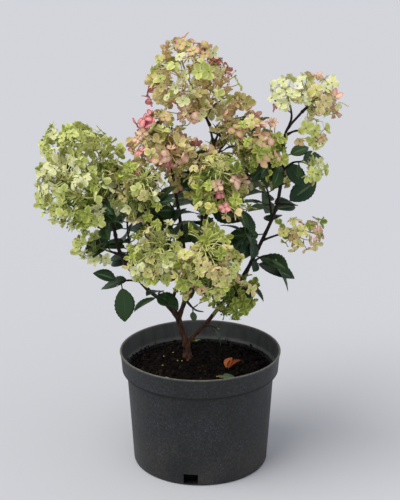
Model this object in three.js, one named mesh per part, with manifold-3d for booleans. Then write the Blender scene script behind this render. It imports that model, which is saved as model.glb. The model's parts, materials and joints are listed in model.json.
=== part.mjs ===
// A young panicle hydrangea in its nursery pot: a short leaning trunk, dark boughs, and flowering shoots that
// each carry crossed pairs of leaves below a cone of four-sepalled flowers.
// Millimetres, Z up. The origin is the middle of the pot's flat underside, and the viewer stands on the -Y side.

import * as THREE from "three";
import Module from "manifold-3d";

const wasm = await Module();
wasm.setup();

// The pot
const POT_HEIGHT = 190;
const RIM_RADIUS = 130;
const COLLAR_HEIGHT = 35;
const NECK_RADIUS = 119;
const FOOT_RADIUS = 110;
const POT_WALL = 2.4;
const POT_FLOOR = 3;
const POT_SIDES = 36;
const DRAIN_COUNT = 4;
const DRAIN_WIDTH = 23;
const DRAIN_HEIGHT = 17;
const DRAIN_TURN = -98; // degrees, so that the first slot is just left of the front

// The compost
const SOIL_EDGE = POT_HEIGHT - COLLAR_HEIGHT - 1;
const SOIL_CROWN = 10; // how far the root ball stands up in the middle
const SOIL_CROWN_RADIUS = 62;

// Gaps and cuts
const SEAT_GAP = 0.3; // between two pieces that meet
const CLEAR = 1.2; // kept by leaves and flowers from limbs and from the next mass

// Leaves and flowers, a little larger than life because there are fewer of them
const FLOWER_SIZE = 23.5; // from a flower's middle to the end of a sepal
const FLOWER_THICK = 1.8;
const SEPAL_SPREAD = 31; // degrees, half the angle that a blunt sepal spans
const SEPAL_NOTCH = 0.5; // how far in the gaps between sepals reach, as a share of the flower's size
const SEPAL_CUP = 0.16; // how far the sepals' ends stand forward, as a share of the flower's size
const LEAF_THICK = 1.6;
const LEAF_WIDTH = 0.54; // as a share of the leaf's length
const LEAF_DROOP = 0.3;
const LEAF_FOLD = 0.25;
const PETIOLE = 9;
const TWIG_RADIUS = 0.9;
const FIRST_SEED = 120; // of the first mass; each next mass has the next number
const GOLDEN_TURN = THREE.MathUtils.degToRad(137.5);
const LEAF_SPACING = 24; // between two pairs along a shoot
const STALK_SLANT = 0.6; // how far a flower's stalk leaves the shoot below it, as a share of its reach
const STALK_ROOM = 12; // how far below the flower cone the lowest stalks leave the shoot
const FLOWER_SPACING = 1.33; // the least room between two flowers' middles, as a share of a flower's size
const FIRST_LEAF = 9; // from a shoot's foot to its first pair of leaves
// How a leaf is tried until it fits: its swing in radians, and its size.
const LEAF_TRIES = [[0, 1], [0.5, 0.85], [-0.5, 0.85], [0, 0.6]];
// How a flower is tried until it fits: how far it is drawn in along its stalk, and its size.
const FLOWER_TRIES = [[0, 1], [0.15, 0.95], [0.3, 0.9], [0.45, 0.85], [0.6, 0.8]];

// Each mass's room
const ROOM_STEP = 8;
const STEM_ROOM = 0.6; // round the stem, as a share of the leaves' length
const LEAST_ROOM = 0.45; // at a cone's tip, as a share of its greatest radius

const UP = new THREE.Vector3(0, 0, 1);

// A seeded source of numbers from 0 to 1, the same at every run.
function seededNumbers(seed) {
  const multiplier = 48271;
  const modulus = 2147483647;
  let state = seed * 7919 + 17;
  return () => {
    state = (state * multiplier) % modulus;
    return state / modulus;
  };
}

// Solids

// A solid from corners and faces, each face three numbers of corners, anticlockwise seen from outside.
function solidFrom({ points, faces }) {
  const vertProperties = new Float32Array(points.flatMap((p) => [p.x, p.y, p.z]));
  return new wasm.Manifold(new wasm.Mesh({ numProp: 3, vertProperties, triVerts: new Uint32Array(faces.flat()) }));
}

// A three.js geometry as a solid, with the corners that its faces share merged.
function solidFromGeometry(geometry) {
  const cornerOf = new Map();
  const points = [];
  const position = geometry.getAttribute("position");
  const order = geometry.index ? Array.from(geometry.index.array) : Array.from({ length: position.count }, (_, i) => i);
  const corners = order.map((i) => {
    const p = new THREE.Vector3().fromBufferAttribute(position, i);
    const key = p.toArray().map((v) => Math.round(v * 1000)).join();
    if (!cornerOf.has(key)) {
      cornerOf.set(key, points.length);
      points.push(p);
    }
    return cornerOf.get(key);
  });
  const faces = [];
  for (let i = 0; i < corners.length; i += 3) {
    const face = corners.slice(i, i + 3);
    if (new Set(face).size === 3) faces.push(face);
  }
  return solidFrom({ points, faces });
}

// The largest body of a join. Loose scraps are dropped, and hollows that the join has sealed are filled.
function largestBody(solid) {
  return solid.decompose().reduce((best, body) => (body.volume() > best.volume() ? body : best));
}

function geometryFrom(solid) {
  const mesh = solid.getMesh();
  const geometry = new THREE.BufferGeometry();
  geometry.setAttribute("position", new THREE.BufferAttribute(new Float32Array(mesh.vertProperties), 3));
  geometry.setIndex(new THREE.BufferAttribute(new Uint32Array(mesh.triVerts), 1));
  geometry.computeVertexNormals();
  return geometry;
}

// Shapes that grow

// A closed tube: rings of equal sides along a line, with a flat cut at each end.
// placeAt(u) and radiusAt(u) give the middle and the radius from the foot, 0, to the tip, 1.
function tube(placeAt, radiusAt, sides, steps) {
  const chord = placeAt(1).clone().sub(placeAt(0));
  const across = [new THREE.Vector3(1, 0, 0), new THREE.Vector3(0, 1, 0), UP].reduce((best, axis) =>
    Math.abs(axis.dot(chord)) < Math.abs(best.dot(chord)) ? axis : best,
  );
  const small = 1e-3;
  const points = [];
  for (let i = 0; i <= steps; i++) {
    const u = i / steps;
    const along = placeAt(Math.min(1, u + small)).clone().sub(placeAt(Math.max(0, u - small))).normalize();
    const side = across.clone().addScaledVector(along, -across.dot(along)).normalize();
    const other = new THREE.Vector3().crossVectors(along, side);
    for (let j = 0; j < sides; j++) {
      const turn = (2 * Math.PI * j) / sides;
      const out = side.clone().multiplyScalar(Math.cos(turn)).addScaledVector(other, Math.sin(turn));
      points.push(placeAt(u).clone().addScaledVector(out, radiusAt(u)));
    }
  }
  const faces = [];
  for (let i = 0; i < steps; i++) {
    for (let j = 0; j < sides; j++) {
      const a = i * sides + j;
      const b = i * sides + ((j + 1) % sides);
      faces.push([a, b, b + sides], [a, b + sides, a + sides]);
    }
  }
  const last = steps * sides;
  for (let j = 1; j < sides - 1; j++) {
    faces.push([0, j + 1, j], [last, last + j, last + j + 1]);
  }
  return { points, faces };
}

// A flower of four blunt sepals, slightly cupped, with its three-sided stalk to root as one closed shape.
function flowerShape(middle, facing, twist, size, root) {
  const z = facing.clone().normalize();
  const y = new THREE.Vector3().crossVectors(z, twist).normalize();
  const x = new THREE.Vector3().crossVectors(y, z);
  const at = (centre, radius, turn, lift) => centre.clone()
    .addScaledVector(x, radius * Math.cos(turn))
    .addScaledVector(y, radius * Math.sin(turn))
    .addScaledVector(z, lift);
  const spread = THREE.MathUtils.degToRad(SEPAL_SPREAD);
  const edge = [];
  for (let sepal = 0; sepal < 4; sepal++) {
    const turn = (sepal * Math.PI) / 2;
    edge.push(at(middle, size, turn - spread, size * SEPAL_CUP));
    edge.push(at(middle, size, turn + spread, size * SEPAL_CUP));
    edge.push(at(middle, size * SEPAL_NOTCH, turn + Math.PI / 4, 0));
  }
  const sides = 3;
  const ring = (centre, radius, lift) => Array.from({ length: sides }, (_, k) => at(centre, radius, (2 * Math.PI * (k + 0.5)) / sides, lift));
  const points = [...edge, ...ring(middle, TWIG_RADIUS, -FLOWER_THICK / 2), ...ring(root, TWIG_RADIUS, 0), at(middle, 0, 0, FLOWER_THICK / 2)];
  const count = edge.length;
  const neck = count;
  const foot = count + sides;
  const top = count + 2 * sides;
  const faces = [[foot, foot + 2, foot + 1]];
  for (let i = 0; i < count; i++) {
    const next = (i + 1) % count;
    const near = Math.floor((i * sides) / count);
    const nextNear = Math.floor((next * sides) / count);
    faces.push([top, i, next], [neck + near, next, i]);
    if (nextNear !== near) faces.push([neck + near, neck + nextNear, next]);
  }
  for (let k = 0; k < sides; k++) {
    const next = (k + 1) % sides;
    faces.push([neck + k, foot + k, foot + next], [neck + k, foot + next, neck + next]);
  }
  return { points, faces };
}

// A leaf along +X from the origin with its upper face to +Z, folded up a little along its midrib and drooping to its
// point, with its three-sided stalk to root as one closed shape.
function leafShape(length, root) {
  const half = (length * LEAF_WIDTH) / 2;
  const on = (along, side, lift) => new THREE.Vector3(
    along * length,
    side * half,
    LEAF_FOLD * Math.abs(side) * half - LEAF_DROOP * length * along * along + lift,
  );
  const collar = [[1, 0], [-0.5, 0.87], [-0.5, -0.87]].map(([lift, side]) => new THREE.Vector3(0, side * TWIG_RADIUS, lift * TWIG_RADIUS));
  const foot = collar.map((p) => p.clone().add(root));
  const edge = [[0.28, -0.86], [0.62, -0.9], [1, 0], [0.62, 0.9], [0.28, 0.86]].map(([along, side]) => on(along, side, 0));
  const middleAt = 0.45;
  const points = [...collar, ...foot, ...edge, on(middleAt, 0, LEAF_THICK / 2), on(middleAt, 0, -LEAF_THICK / 2)];
  const [top, left, right] = [0, 1, 2];
  const firstEdge = 6;
  const upper = firstEdge + edge.length;
  const rim = [right, ...edge.map((_, i) => firstEdge + i), left];
  const faces = [[upper, left, top], [upper, top, right], [upper + 1, right, left], [top + 3, left + 3, right + 3]];
  for (let i = 1; i < rim.length; i++) {
    faces.push([upper, rim[i - 1], rim[i]], [upper + 1, rim[i], rim[i - 1]]);
  }
  for (const [a, b] of [[top, left], [left, right], [right, top]]) {
    faces.push([a, b, b + 3], [a, b + 3, a + 3]);
  }
  return { points, faces };
}

// A shape moved to a place, with its +Z turned to facing and its +X as near to along as that allows.
function placed(shape, place, facing, along) {
  const z = facing.clone().normalize();
  const y = new THREE.Vector3().crossVectors(z, along).normalize();
  const x = new THREE.Vector3().crossVectors(y, z);
  const matrix = new THREE.Matrix4().makeBasis(x, y, z).setPosition(place);
  return { points: shape.points.map((p) => p.clone().applyMatrix4(matrix)), faces: shape.faces };
}

// Lines that limbs and shoots follow

// A smooth line from a point on the parent's line through the given places. Lengths along it are in millimetres.
class GrowthLine {
  constructor(places) {
    this.curve = new THREE.CatmullRomCurve3(places);
    this.length = this.curve.getLength();
    this.samples = this.curve.getSpacedPoints(Math.ceil(this.length / 8));
  }

  at(distance) {
    return this.curve.getPointAt(THREE.MathUtils.clamp(distance / this.length, 0, 1));
  }

  direction(distance) {
    return this.curve.getTangentAt(THREE.MathUtils.clamp(distance / this.length, 0, 1)).normalize();
  }

  distanceTo(point) {
    const nearest = new THREE.Vector3();
    let least = Infinity;
    for (let i = 1; i < this.samples.length; i++) {
      new THREE.Line3(this.samples[i - 1], this.samples[i]).closestPointToPoint(point, true, nearest);
      least = Math.min(least, nearest.distanceTo(point));
    }
    return least;
  }
}

// The woody limbs. Each grows out of its parent, a share of the way along it, and passes through the places given.
// thick holds its radius at its foot and at its tip. socket is the length at its foot that belongs to the parent.
const TRUNK_CUT = SOIL_EDGE + SOIL_CROWN + SEAT_GAP;
const TRUNK_SUNK = 6; // the trunk's line starts this far below its flat cut
const TRUNK_FOOT = new THREE.Vector3(-20.5, 22, TRUNK_CUT - TRUNK_SUNK);
const LIMBS = {
  trunk: { via: [[-24, 22, 192], [-30, 22, 212], [-36, 22, 234]], thick: [5.8, 4.6], sides: 10 },
  left_bough: { from: "trunk", along: 1, via: [[-57, 10, 264], [-83, -5, 292], [-115, -20, 337]], thick: [3.3, 2.9], socket: 14 },
  left_upper_bough: { from: "left_bough", along: 1, via: [[-128, -24, 368], [-134, -25, 401], [-140, -25, 420]], thick: [2.9, 2.6] },
  centre_bough: { from: "trunk", along: 1, via: [[-26, 20, 262], [-20, 18, 292], [-24, 14, 335], [-28, 10, 370]], thick: [3.6, 3], socket: 14 },
  centre_upper_bough: { from: "centre_bough", along: 1, via: [[-32, 7, 405], [-37, 5, 440], [-45, 4, 495]], thick: [3, 2.1] },
  top_bough: { from: "trunk", along: 1, via: [[-45, 36, 256], [-36, 44, 285], [-12, 48, 325], [8, 46, 395]], thick: [2.9, 2.5], socket: 14 },
  top_upper_bough: { from: "top_bough", along: 1, via: [[16, 44, 430], [25, 40, 480], [15, 32, 550]], thick: [2.5, 1.8] },
  right_bough: { from: "trunk", along: 0.36, via: [[-10, 24, 203], [4, 30, 215], [19, 35, 232], [46, 38, 267], [71, 35, 302]], thick: [3.4, 3.1], socket: 11 },
  right_middle_bough: { from: "right_bough", along: 1, via: [[94, 30, 353], [120, 25, 419], [128, 22, 470]], thick: [3.1, 2.6] },
  right_upper_bough: { from: "right_middle_bough", along: 1, via: [[130, 18, 505], [132, 15, 543], [155, 10, 575]], thick: [2.6, 1.8] },
};

// The flowering and leafy shoots: each is one mass with a space of its own. bloom is the length and greatest radius of
// the flower cone at the end of the shoot, flowers their number, and leaf the length of a leaf.
const SHOOTS = {
  left_upper_bloom: { from: "left_upper_bough", along: 1, via: [[-150, -14, 454], [-178, 2, 490], [-230, 12, 540]], bloom: [118, 66], flowers: 24, leaf: 52 },
  left_lower_bloom: { from: "left_upper_bough", along: 0.75, via: [[-158, -50, 446], [-190, -68, 470], [-240, -74, 496]], bloom: [92, 54], flowers: 20, leaf: 50 },
  left_drop_bloom: { from: "left_upper_bough", along: 0.25, via: [[-142, -34, 366], [-162, -34, 374], [-192, -30, 380]], bloom: [46, 31], flowers: 8, leaf: 34 },
  middle_left_bloom: { from: "centre_bough", along: 0.97, via: [[-50, -14, 398], [-74, -44, 440], [-104, -62, 502]], bloom: [60, 42], flowers: 13, leaf: 54 },
  pink_bloom: { from: "centre_upper_bough", along: 1, via: [[-54, 0, 518], [-76, -6, 576]], bloom: [88, 58], flowers: 19, leaf: 50 },
  top_bloom: { from: "top_upper_bough", along: 1, via: [[-2, 30, 586], [-16, 26, 618], [-38, 20, 678]], bloom: [114, 73], flowers: 31, leaf: 44 },
  top_right_bloom: { from: "top_upper_bough", along: 0.8, via: [[34, 10, 554], [48, -4, 572], [60, -12, 602]], bloom: [60, 38], flowers: 11, leaf: 40 },
  centre_bloom: { from: "top_upper_bough", along: 0.2, via: [[18, 8, 454], [22, -32, 476], [32, -88, 504]], bloom: [80, 50], flowers: 19, leaf: 52 },
  right_centre_bloom: { from: "right_upper_bough", along: 0.1, via: [[114, -4, 504], [96, -20, 520], [66, -38, 572]], bloom: [78, 46], flowers: 14, leaf: 46 },
  back_top_bloom: { from: "top_upper_bough", along: 0.55, via: [[30, 54, 504], [42, 70, 516], [54, 86, 552]], bloom: [46, 34], flowers: 8, leaf: 40 },
  right_top_bloom: { from: "right_upper_bough", along: 1, via: [[168, 10, 588], [180, 6, 600], [204, 0, 618]], bloom: [46, 42], flowers: 10, leaf: 34 },
  right_top_left_bloom: { from: "right_upper_bough", along: 0.75, via: [[138, -14, 576], [132, -32, 600], [122, -44, 632]], bloom: [40, 32], flowers: 7, leaf: 30 },
  right_middle_bloom: { from: "right_upper_bough", along: 0.6, via: [[148, -6, 550], [166, -20, 548], [186, -30, 534]], bloom: [38, 30], flowers: 6, leaf: 30 },
  right_side_bloom: { from: "right_upper_bough", along: 0.1, via: [[146, -2, 500], [164, -14, 500], [184, -26, 482]], bloom: [32, 22], flowers: 4, leaf: 44 },
  right_low_bloom: { from: "right_middle_bough", along: 0.38, via: [[120, -2, 382], [148, -20, 396], [188, -34, 392]], bloom: [56, 38], flowers: 9, leaf: 44 },
  front_left_bloom: { from: "centre_bough", along: 0.68, via: [[-38, -32, 376], [-62, -76, 378], [-92, -104, 346]], bloom: [84, 50], flowers: 17, leaf: 46 },
  front_right_bloom: { from: "centre_bough", along: 0.8, via: [[-8, -40, 374], [4, -82, 378], [14, -122, 326]], bloom: [80, 54], flowers: 18, leaf: 46 },
  low_right_bloom: { from: "right_bough", along: 0.9, via: [[68, 6, 306], [56, -20, 302], [34, -44, 260]], bloom: [52, 38], flowers: 9, leaf: 38 },
  back_left_bloom: { from: "left_bough", along: 0.85, via: [[-116, 28, 380], [-118, 74, 425], [-118, 112, 470]], bloom: [76, 50], flowers: 8, leaf: 52 },
  back_middle_bloom: { from: "top_bough", along: 0.9, via: [[0, 84, 410], [-16, 112, 450], [-32, 130, 500]], bloom: [78, 52], flowers: 8, leaf: 54 },
  back_right_bloom: { from: "right_middle_bough", along: 0.6, via: [[110, 66, 430], [98, 98, 465], [84, 116, 512]], bloom: [74, 46], flowers: 8, leaf: 52 },
  left_low_leaves: { from: "left_bough", along: 0.75, via: [[-120, -38, 318], [-132, -52, 312]], girth: 34, leaf: 48 },
  fork_leaves: { from: "left_bough", along: 0.35, via: [[-66, -14, 290], [-56, -30, 300]], girth: 36, leaf: 40 },
  collar_leaves: { from: "centre_bough", along: 0.25, via: [[-8, 6, 254], [8, -4, 254]], girth: 34, leaf: 26 },
  foot_leaves: { from: "right_bough", along: 0.3, via: [[20, 14, 222], [34, 4, 220]], girth: 26, leaf: 30 },
  front_leaves: { from: "centre_bough", along: 0.45, via: [[-18, -8, 312], [-10, -30, 310]], girth: 34, leaf: 44 },
  right_inner_leaves: { from: "right_middle_bough", along: 0.3, via: [[84, 8, 372], [68, -8, 388]], girth: 40, leaf: 50 },
  right_fork_leaves: { from: "right_middle_bough", along: 0.14, via: [[106, 6, 346], [124, -6, 340]], girth: 36, leaf: 52 },
  right_long_leaves: { from: "right_middle_bough", along: 0.75, via: [[140, 6, 430], [156, -2, 430]], girth: 34, leaf: 62 },
};

// The line of a limb or shoot, from its parent's middle through its own places.
function lineOf(spec) {
  const places = spec.via.map((place) => new THREE.Vector3(...place));
  const foot = spec.from ? lines.get(spec.from).at(spec.along * lines.get(spec.from).length) : TRUNK_FOOT;
  return new GrowthLine([foot, ...places]);
}

const lines = new Map();
for (const [name, spec] of Object.entries({ ...LIMBS, ...SHOOTS })) {
  lines.set(name, lineOf(spec));
}

function limbRadius(name, distance) {
  const [foot, tip] = LIMBS[name].thick;
  return THREE.MathUtils.lerp(foot, tip, distance / lines.get(name).length);
}

// How much of a limb or shoot's foot is part of its parent.
function socketOf(name, spec) {
  if (!spec.from) return 0;
  if (spec.socket) return spec.socket;
  return limbRadius(spec.from, spec.along * lines.get(spec.from).length) * 2 + 3;
}

// The radius of a shoot's stem, thinning to the end of its flower cone.
const STEM_FOOT = 1.9;
const STEM_TIP = 1;
const ROOT_FLARE = 4;
const FLARE_FADE = 8;
const LIMB_STEP = 22;

function radiusOf(name, distance) {
  if (LIMBS[name]) return limbRadius(name, distance);
  return THREE.MathUtils.lerp(STEM_FOOT, STEM_TIP, distance / lines.get(name).length);
}

// The stretch of a limb or shoot between two distances, as a tube.
function stretch(name, from, to, sides, spacing) {
  const line = lines.get(name);
  const flare = name === "trunk" ? ROOT_FLARE : 0;
  const distance = (u) => THREE.MathUtils.lerp(from, to, u);
  return tube(
    (u) => line.at(distance(u)),
    (u) => radiusOf(name, distance(u)) + flare * Math.exp(-distance(u) / FLARE_FADE),
    sides,
    Math.max(1, Math.round((to - from) / spacing)),
  );
}

const everything = { ...LIMBS, ...SHOOTS };
const sockets = Object.entries(everything)
  .filter(([, spec]) => spec.from)
  .map(([name, spec]) => ({ name, parent: spec.from, length: socketOf(name, spec) }));

// A limb with the sockets of all that grows out of it.
function limb(name) {
  const spec = LIMBS[name];
  const own = socketOf(name, spec);
  const foot = own ? own + SEAT_GAP : 0;
  const sides = spec.sides ?? 6;
  const parts = [solidFrom(stretch(name, foot, lines.get(name).length, sides, LIMB_STEP))];
  for (const socket of sockets.filter((s) => s.parent === name)) {
    const socketSides = LIMBS[socket.name] ? 6 : 4;
    parts.push(solidFrom(stretch(socket.name, 0, socket.length, socketSides, socket.length)));
  }
  const joined = largestBody(wasm.Manifold.union(parts));
  return name === "trunk" ? joined.trimByPlane(UP.toArray(), TRUNK_CUT) : joined;
}

// Masses

// The room that a mass claims, as balls along its shoot: narrow round the stem, and as wide as the flower cone above.
function roomOf(name, spec) {
  const line = lines.get(name);
  const coneFoot = line.length - (spec.bloom ? spec.bloom[0] : 0);
  const count = Math.ceil(line.length / ROOM_STEP);
  return Array.from({ length: count + 1 }, (_, i) => {
    const at = (line.length * i) / count;
    const inCone = spec.bloom && at > coneFoot;
    const wide = inCone ? spec.bloom[1] * Math.max(LEAST_ROOM, coneShare((at - coneFoot) / spec.bloom[0])) : spec.girth;
    return { middle: line.at(at), radius: wide ?? spec.leaf * STEM_ROOM };
  });
}

const masses = Object.entries(SHOOTS).map(([name, spec]) => ({ name, line: lines.get(name), room: roomOf(name, spec) }));

const obstacles = [
  ...Object.keys(LIMBS).map((name) => ({ line: lines.get(name), radius: Math.max(...LIMBS[name].thick) })),
  ...sockets.map(({ name, length }) => {
    const line = lines.get(name);
    return { line: new GrowthLine([line.at(0), line.at(length / 2), line.at(length)]), radius: radiusOf(name, 0) };
  }),
];

// How deep a point is in a mass's room: 0 on the shoot, 1 at the edge of the room.
function depthIn(mass, point) {
  return Math.min(...mass.room.map(({ middle, radius }) => middle.distanceTo(point) / radius));
}

// Whether a point lies in a mass's own space: deeper in its room than in any other mass's, clear of every limb, and
// over the pot.
function inOwnSpace(point, mass) {
  const depth = depthIn(mass, point) + CLEAR / FLOWER_SIZE / 2;
  const clearOfMasses = masses.every((other) => other === mass || depth < depthIn(other, point));
  const clearOfLimbs = obstacles.every(({ line, radius }) => line.distanceTo(point) > radius + CLEAR);
  return clearOfMasses && clearOfLimbs && point.z > SOIL_EDGE + SOIL_CROWN + CLEAR;
}

// A shape's corners, and points along its faces' edges, as the places where its space is tested.
function testPoints({ points, faces }) {
  const along = faces.flatMap(([a, b]) => [0.33, 0.67].map((u) => points[a].clone().lerp(points[b], u)));
  return [...points, ...along];
}

// The width of a flower cone, as a share of its greatest radius, from its foot, 0, to its tip, 1.
function coneShare(t) {
  const foot = 0.75 + 0.25 * Math.min(1, t / 0.25);
  return foot * Math.pow(Math.max(0, 1 - Math.pow(t, 4)), 0.6);
}

// A direction square to the line at a distance, turned about it.
function outward(line, distance, turn) {
  const along = line.direction(distance);
  const level = Math.abs(along.z) > 0.95 ? new THREE.Vector3(0, 1, 0) : UP;
  const side = new THREE.Vector3().crossVectors(level, along).normalize();
  const other = new THREE.Vector3().crossVectors(along, side);
  return side.multiplyScalar(Math.cos(turn)).addScaledVector(other, Math.sin(turn));
}

// Places for the flowers of a cone. Each leaves the shoot at the golden angle from the last one, so that they spread
// evenly, on a stalk that slants forward, and faces outward and a little up. The first place ends the shoot.
function coneFlowers(spec, line, stemFoot, random) {
  const [length, girth] = spec.bloom;
  const coneFoot = line.length - length;
  const lowestRoot = Math.max(stemFoot + 2 * (CLEAR + TWIG_RADIUS), coneFoot - STALK_ROOM);
  const spin = random() * 2 * Math.PI;
  const end = { middle: line.at(line.length), facing: line.direction(line.length), twist: outward(line, line.length, 0) };
  const flowers = [{ ...end, size: FLOWER_SIZE, root: line.at(line.length - FLOWER_SIZE / 2) }];
  for (let i = 0; i < spec.flowers; i++) {
    const t = 1 - Math.pow((i + 0.5) / spec.flowers, 0.9);
    const endAt = coneFoot + t * length;
    const out = outward(line, endAt, spin + i * GOLDEN_TURN);
    const reach = (girth - SEPAL_CUP * FLOWER_SIZE) * coneShare(t) * (0.84 + 0.16 * random());
    const along = line.direction(endAt);
    flowers.push({
      middle: line.at(endAt).addScaledVector(out, reach),
      facing: out.clone().addScaledVector(along, 0.25 + 0.5 * t).addScaledVector(UP, 0.25),
      twist: along.clone().applyAxisAngle(out, random() * Math.PI),
      size: FLOWER_SIZE * (0.88 + 0.24 * random()),
      root: line.at(Math.max(lowestRoot, endAt - STALK_SLANT * reach)),
    });
  }
  return flowers;
}

// A leaf on its stalk, square to the shoot, leaning out and up.
function leafOn(line, distance, turn, length, random) {
  const out = outward(line, distance, turn);
  const lean = 0.25 + 0.3 * random();
  const along = out.clone().addScaledVector(line.direction(distance), lean).normalize();
  const facing = UP.clone().addScaledVector(along, -UP.dot(along)).normalize();
  const bladeFoot = line.at(distance).addScaledVector(along, PETIOLE);
  return placed(leafShape(length * (0.85 + 0.3 * random()), new THREE.Vector3(-PETIOLE, 0, 0)), bladeFoot, facing, along);
}

// A mass: its stem, then crossed pairs of leaves, then the branches of its flower cone. A leaf or branch that would
// leave the mass's own space is tried again smaller or turned, and then skipped.
function massSolid(mass, seed) {
  const spec = SHOOTS[mass.name];
  const random = seededNumbers(seed);
  const line = mass.line;
  const foot = socketOf(mass.name, spec) + SEAT_GAP;
  const bloomFoot = line.length - (spec.bloom ? spec.bloom[0] : 0);
  const parts = [solidFrom(stretch(mass.name, foot, line.length, 4, 24))];
  const keep = (shape) => {
    const fits = testPoints(shape).every((point) => inOwnSpace(point, mass));
    if (fits) parts.push(solidFrom(shape));
    return fits;
  };
  let turn = random() * Math.PI;
  for (let at = foot + FIRST_LEAF; at < bloomFoot - 4; at += LEAF_SPACING) {
    for (const half of [0, Math.PI]) {
      for (const [swing, shrink] of LEAF_TRIES) {
        if (keep(leafOn(line, at, turn + half + swing, spec.leaf * shrink, random))) break;
      }
    }
    turn += Math.PI / 2;
  }
  const open = [];
  for (const { middle, facing, twist, size, root } of spec.bloom ? coneFlowers(spec, line, foot, random) : []) {
    for (const [pull, shrink] of FLOWER_TRIES) {
      const place = middle.clone().lerp(root, pull);
      const free = open.every((other) => other.distanceTo(place) > FLOWER_SPACING * FLOWER_SIZE);
      if (free && keep(flowerShape(place, facing, twist, size * shrink, root))) {
        open.push(place);
        break;
      }
    }
  }
  return largestBody(wasm.Manifold.union(parts));
}

// The pot and its compost

// A solid turned about the Z axis from a profile of [radius, height] points that starts and ends on the axis.
function turned(profile, sides) {
  const outline = profile.map(([radius, height]) => new THREE.Vector2(radius, height));
  const lathe = new THREE.LatheGeometry(outline, sides);
  lathe.rotateX(Math.PI / 2); // the lathe's Y axis becomes Z
  return solidFromGeometry(lathe);
}

function potSolid() {
  const neck = POT_HEIGHT - COLLAR_HEIGHT;
  const wall = turned([
    [0, 0],
    [FOOT_RADIUS - 2, 0],
    [FOOT_RADIUS, 2.5],
    [NECK_RADIUS, neck],
    [NECK_RADIUS + 5, neck + 3],
    [NECK_RADIUS + 8, neck + 9],
    [RIM_RADIUS - 0.8, POT_HEIGHT - 3],
    [RIM_RADIUS, POT_HEIGHT - 2],
    [RIM_RADIUS - 1, POT_HEIGHT],
    [RIM_RADIUS - 3, POT_HEIGHT],
    [NECK_RADIUS + 8 - POT_WALL, neck + 9],
    [NECK_RADIUS + 4, neck + 3 + POT_WALL],
    [NECK_RADIUS - POT_WALL, neck + POT_WALL / 2],
    [FOOT_RADIUS - POT_WALL, POT_FLOOR],
    [0, POT_FLOOR],
  ], POT_SIDES);
  const slots = Array.from({ length: DRAIN_COUNT }, (_, i) => {
    const slot = new THREE.BoxGeometry(14, DRAIN_WIDTH, DRAIN_HEIGHT);
    slot.translate(FOOT_RADIUS, 0, DRAIN_HEIGHT / 2 + POT_FLOOR);
    slot.rotateZ(THREE.MathUtils.degToRad(DRAIN_TURN + (i * 360) / DRAIN_COUNT));
    return solidFromGeometry(slot);
  });
  return slots.reduce((pot, slot) => pot.subtract(slot), wall);
}

function soilSolid() {
  const gap = SEAT_GAP;
  const insideAt = (height) => THREE.MathUtils.mapLinear(
    height, POT_FLOOR, POT_HEIGHT - COLLAR_HEIGHT, FOOT_RADIUS - POT_WALL, NECK_RADIUS - POT_WALL,
  ) - gap * 2;
  return turned([
    [0, POT_FLOOR + gap],
    [insideAt(POT_FLOOR) - 0.5, POT_FLOOR + gap],
    [insideAt(SOIL_EDGE), SOIL_EDGE],
    [SOIL_CROWN_RADIUS + 25, SOIL_EDGE + SOIL_CROWN * 0.55],
    [SOIL_CROWN_RADIUS, SOIL_EDGE + SOIL_CROWN],
    [0, SOIL_EDGE + SOIL_CROWN],
  ], POT_SIDES);
}

// Materials

const plastic = new THREE.MeshStandardMaterial({ color: 0x3b3f45, roughness: 0.6, metalness: 0 });
const compost = new THREE.MeshStandardMaterial({ color: 0x1b1310, roughness: 1, metalness: 0 });
const bark = new THREE.MeshStandardMaterial({ color: 0x3d231a, roughness: 0.85, metalness: 0 });
const greenFlower = new THREE.MeshStandardMaterial({ color: 0xb4bf63, roughness: 0.8, metalness: 0 });
const pinkFlower = new THREE.MeshStandardMaterial({ color: 0xc98f7c, roughness: 0.8, metalness: 0 });
const darkLeaf = new THREE.MeshStandardMaterial({ color: 0x1f4428, roughness: 0.6, metalness: 0 });

const PINK_SHOOTS = ["pink_bloom", "top_bloom", "top_right_bloom", "right_centre_bloom"];

function foliageMaterial(name) {
  if (!SHOOTS[name].bloom) return darkLeaf;
  return PINK_SHOOTS.includes(name) ? pinkFlower : greenFlower;
}

// The plant

const plant = new THREE.Group();

function add(name, solid, material) {
  const mesh = new THREE.Mesh(geometryFrom(solid), material);
  mesh.name = name;
  plant.add(mesh);
}

add("pot", potSolid(), plastic);
add("soil", soilSolid(), compost);
for (const name of Object.keys(LIMBS)) {
  add(name, limb(name), bark);
}
masses.forEach((mass, i) => {
  add(mass.name, massSolid(mass, FIRST_SEED + i), foliageMaterial(mass.name));
});

export default plant;
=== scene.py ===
# %% [markdown]
# # A panicle hydrangea in its pot
# A panicle hydrangea is a small shrub with a few dark woody boughs. Each year's shoot carries pairs of
# leaves, each pair square to the last, and ends in a cone of flowers. What looks like a petal is a sepal:
# lime when it opens, then cream, then pink as the nights get cold.
#
# This lesson dresses a plain model of the shrub, made of simple solids that fix where everything is. It
# grows the same shrub again by the same rule, and carries it on to finer stalks, real leaves and real
# flowers.

# %% The plain model
import json

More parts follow.
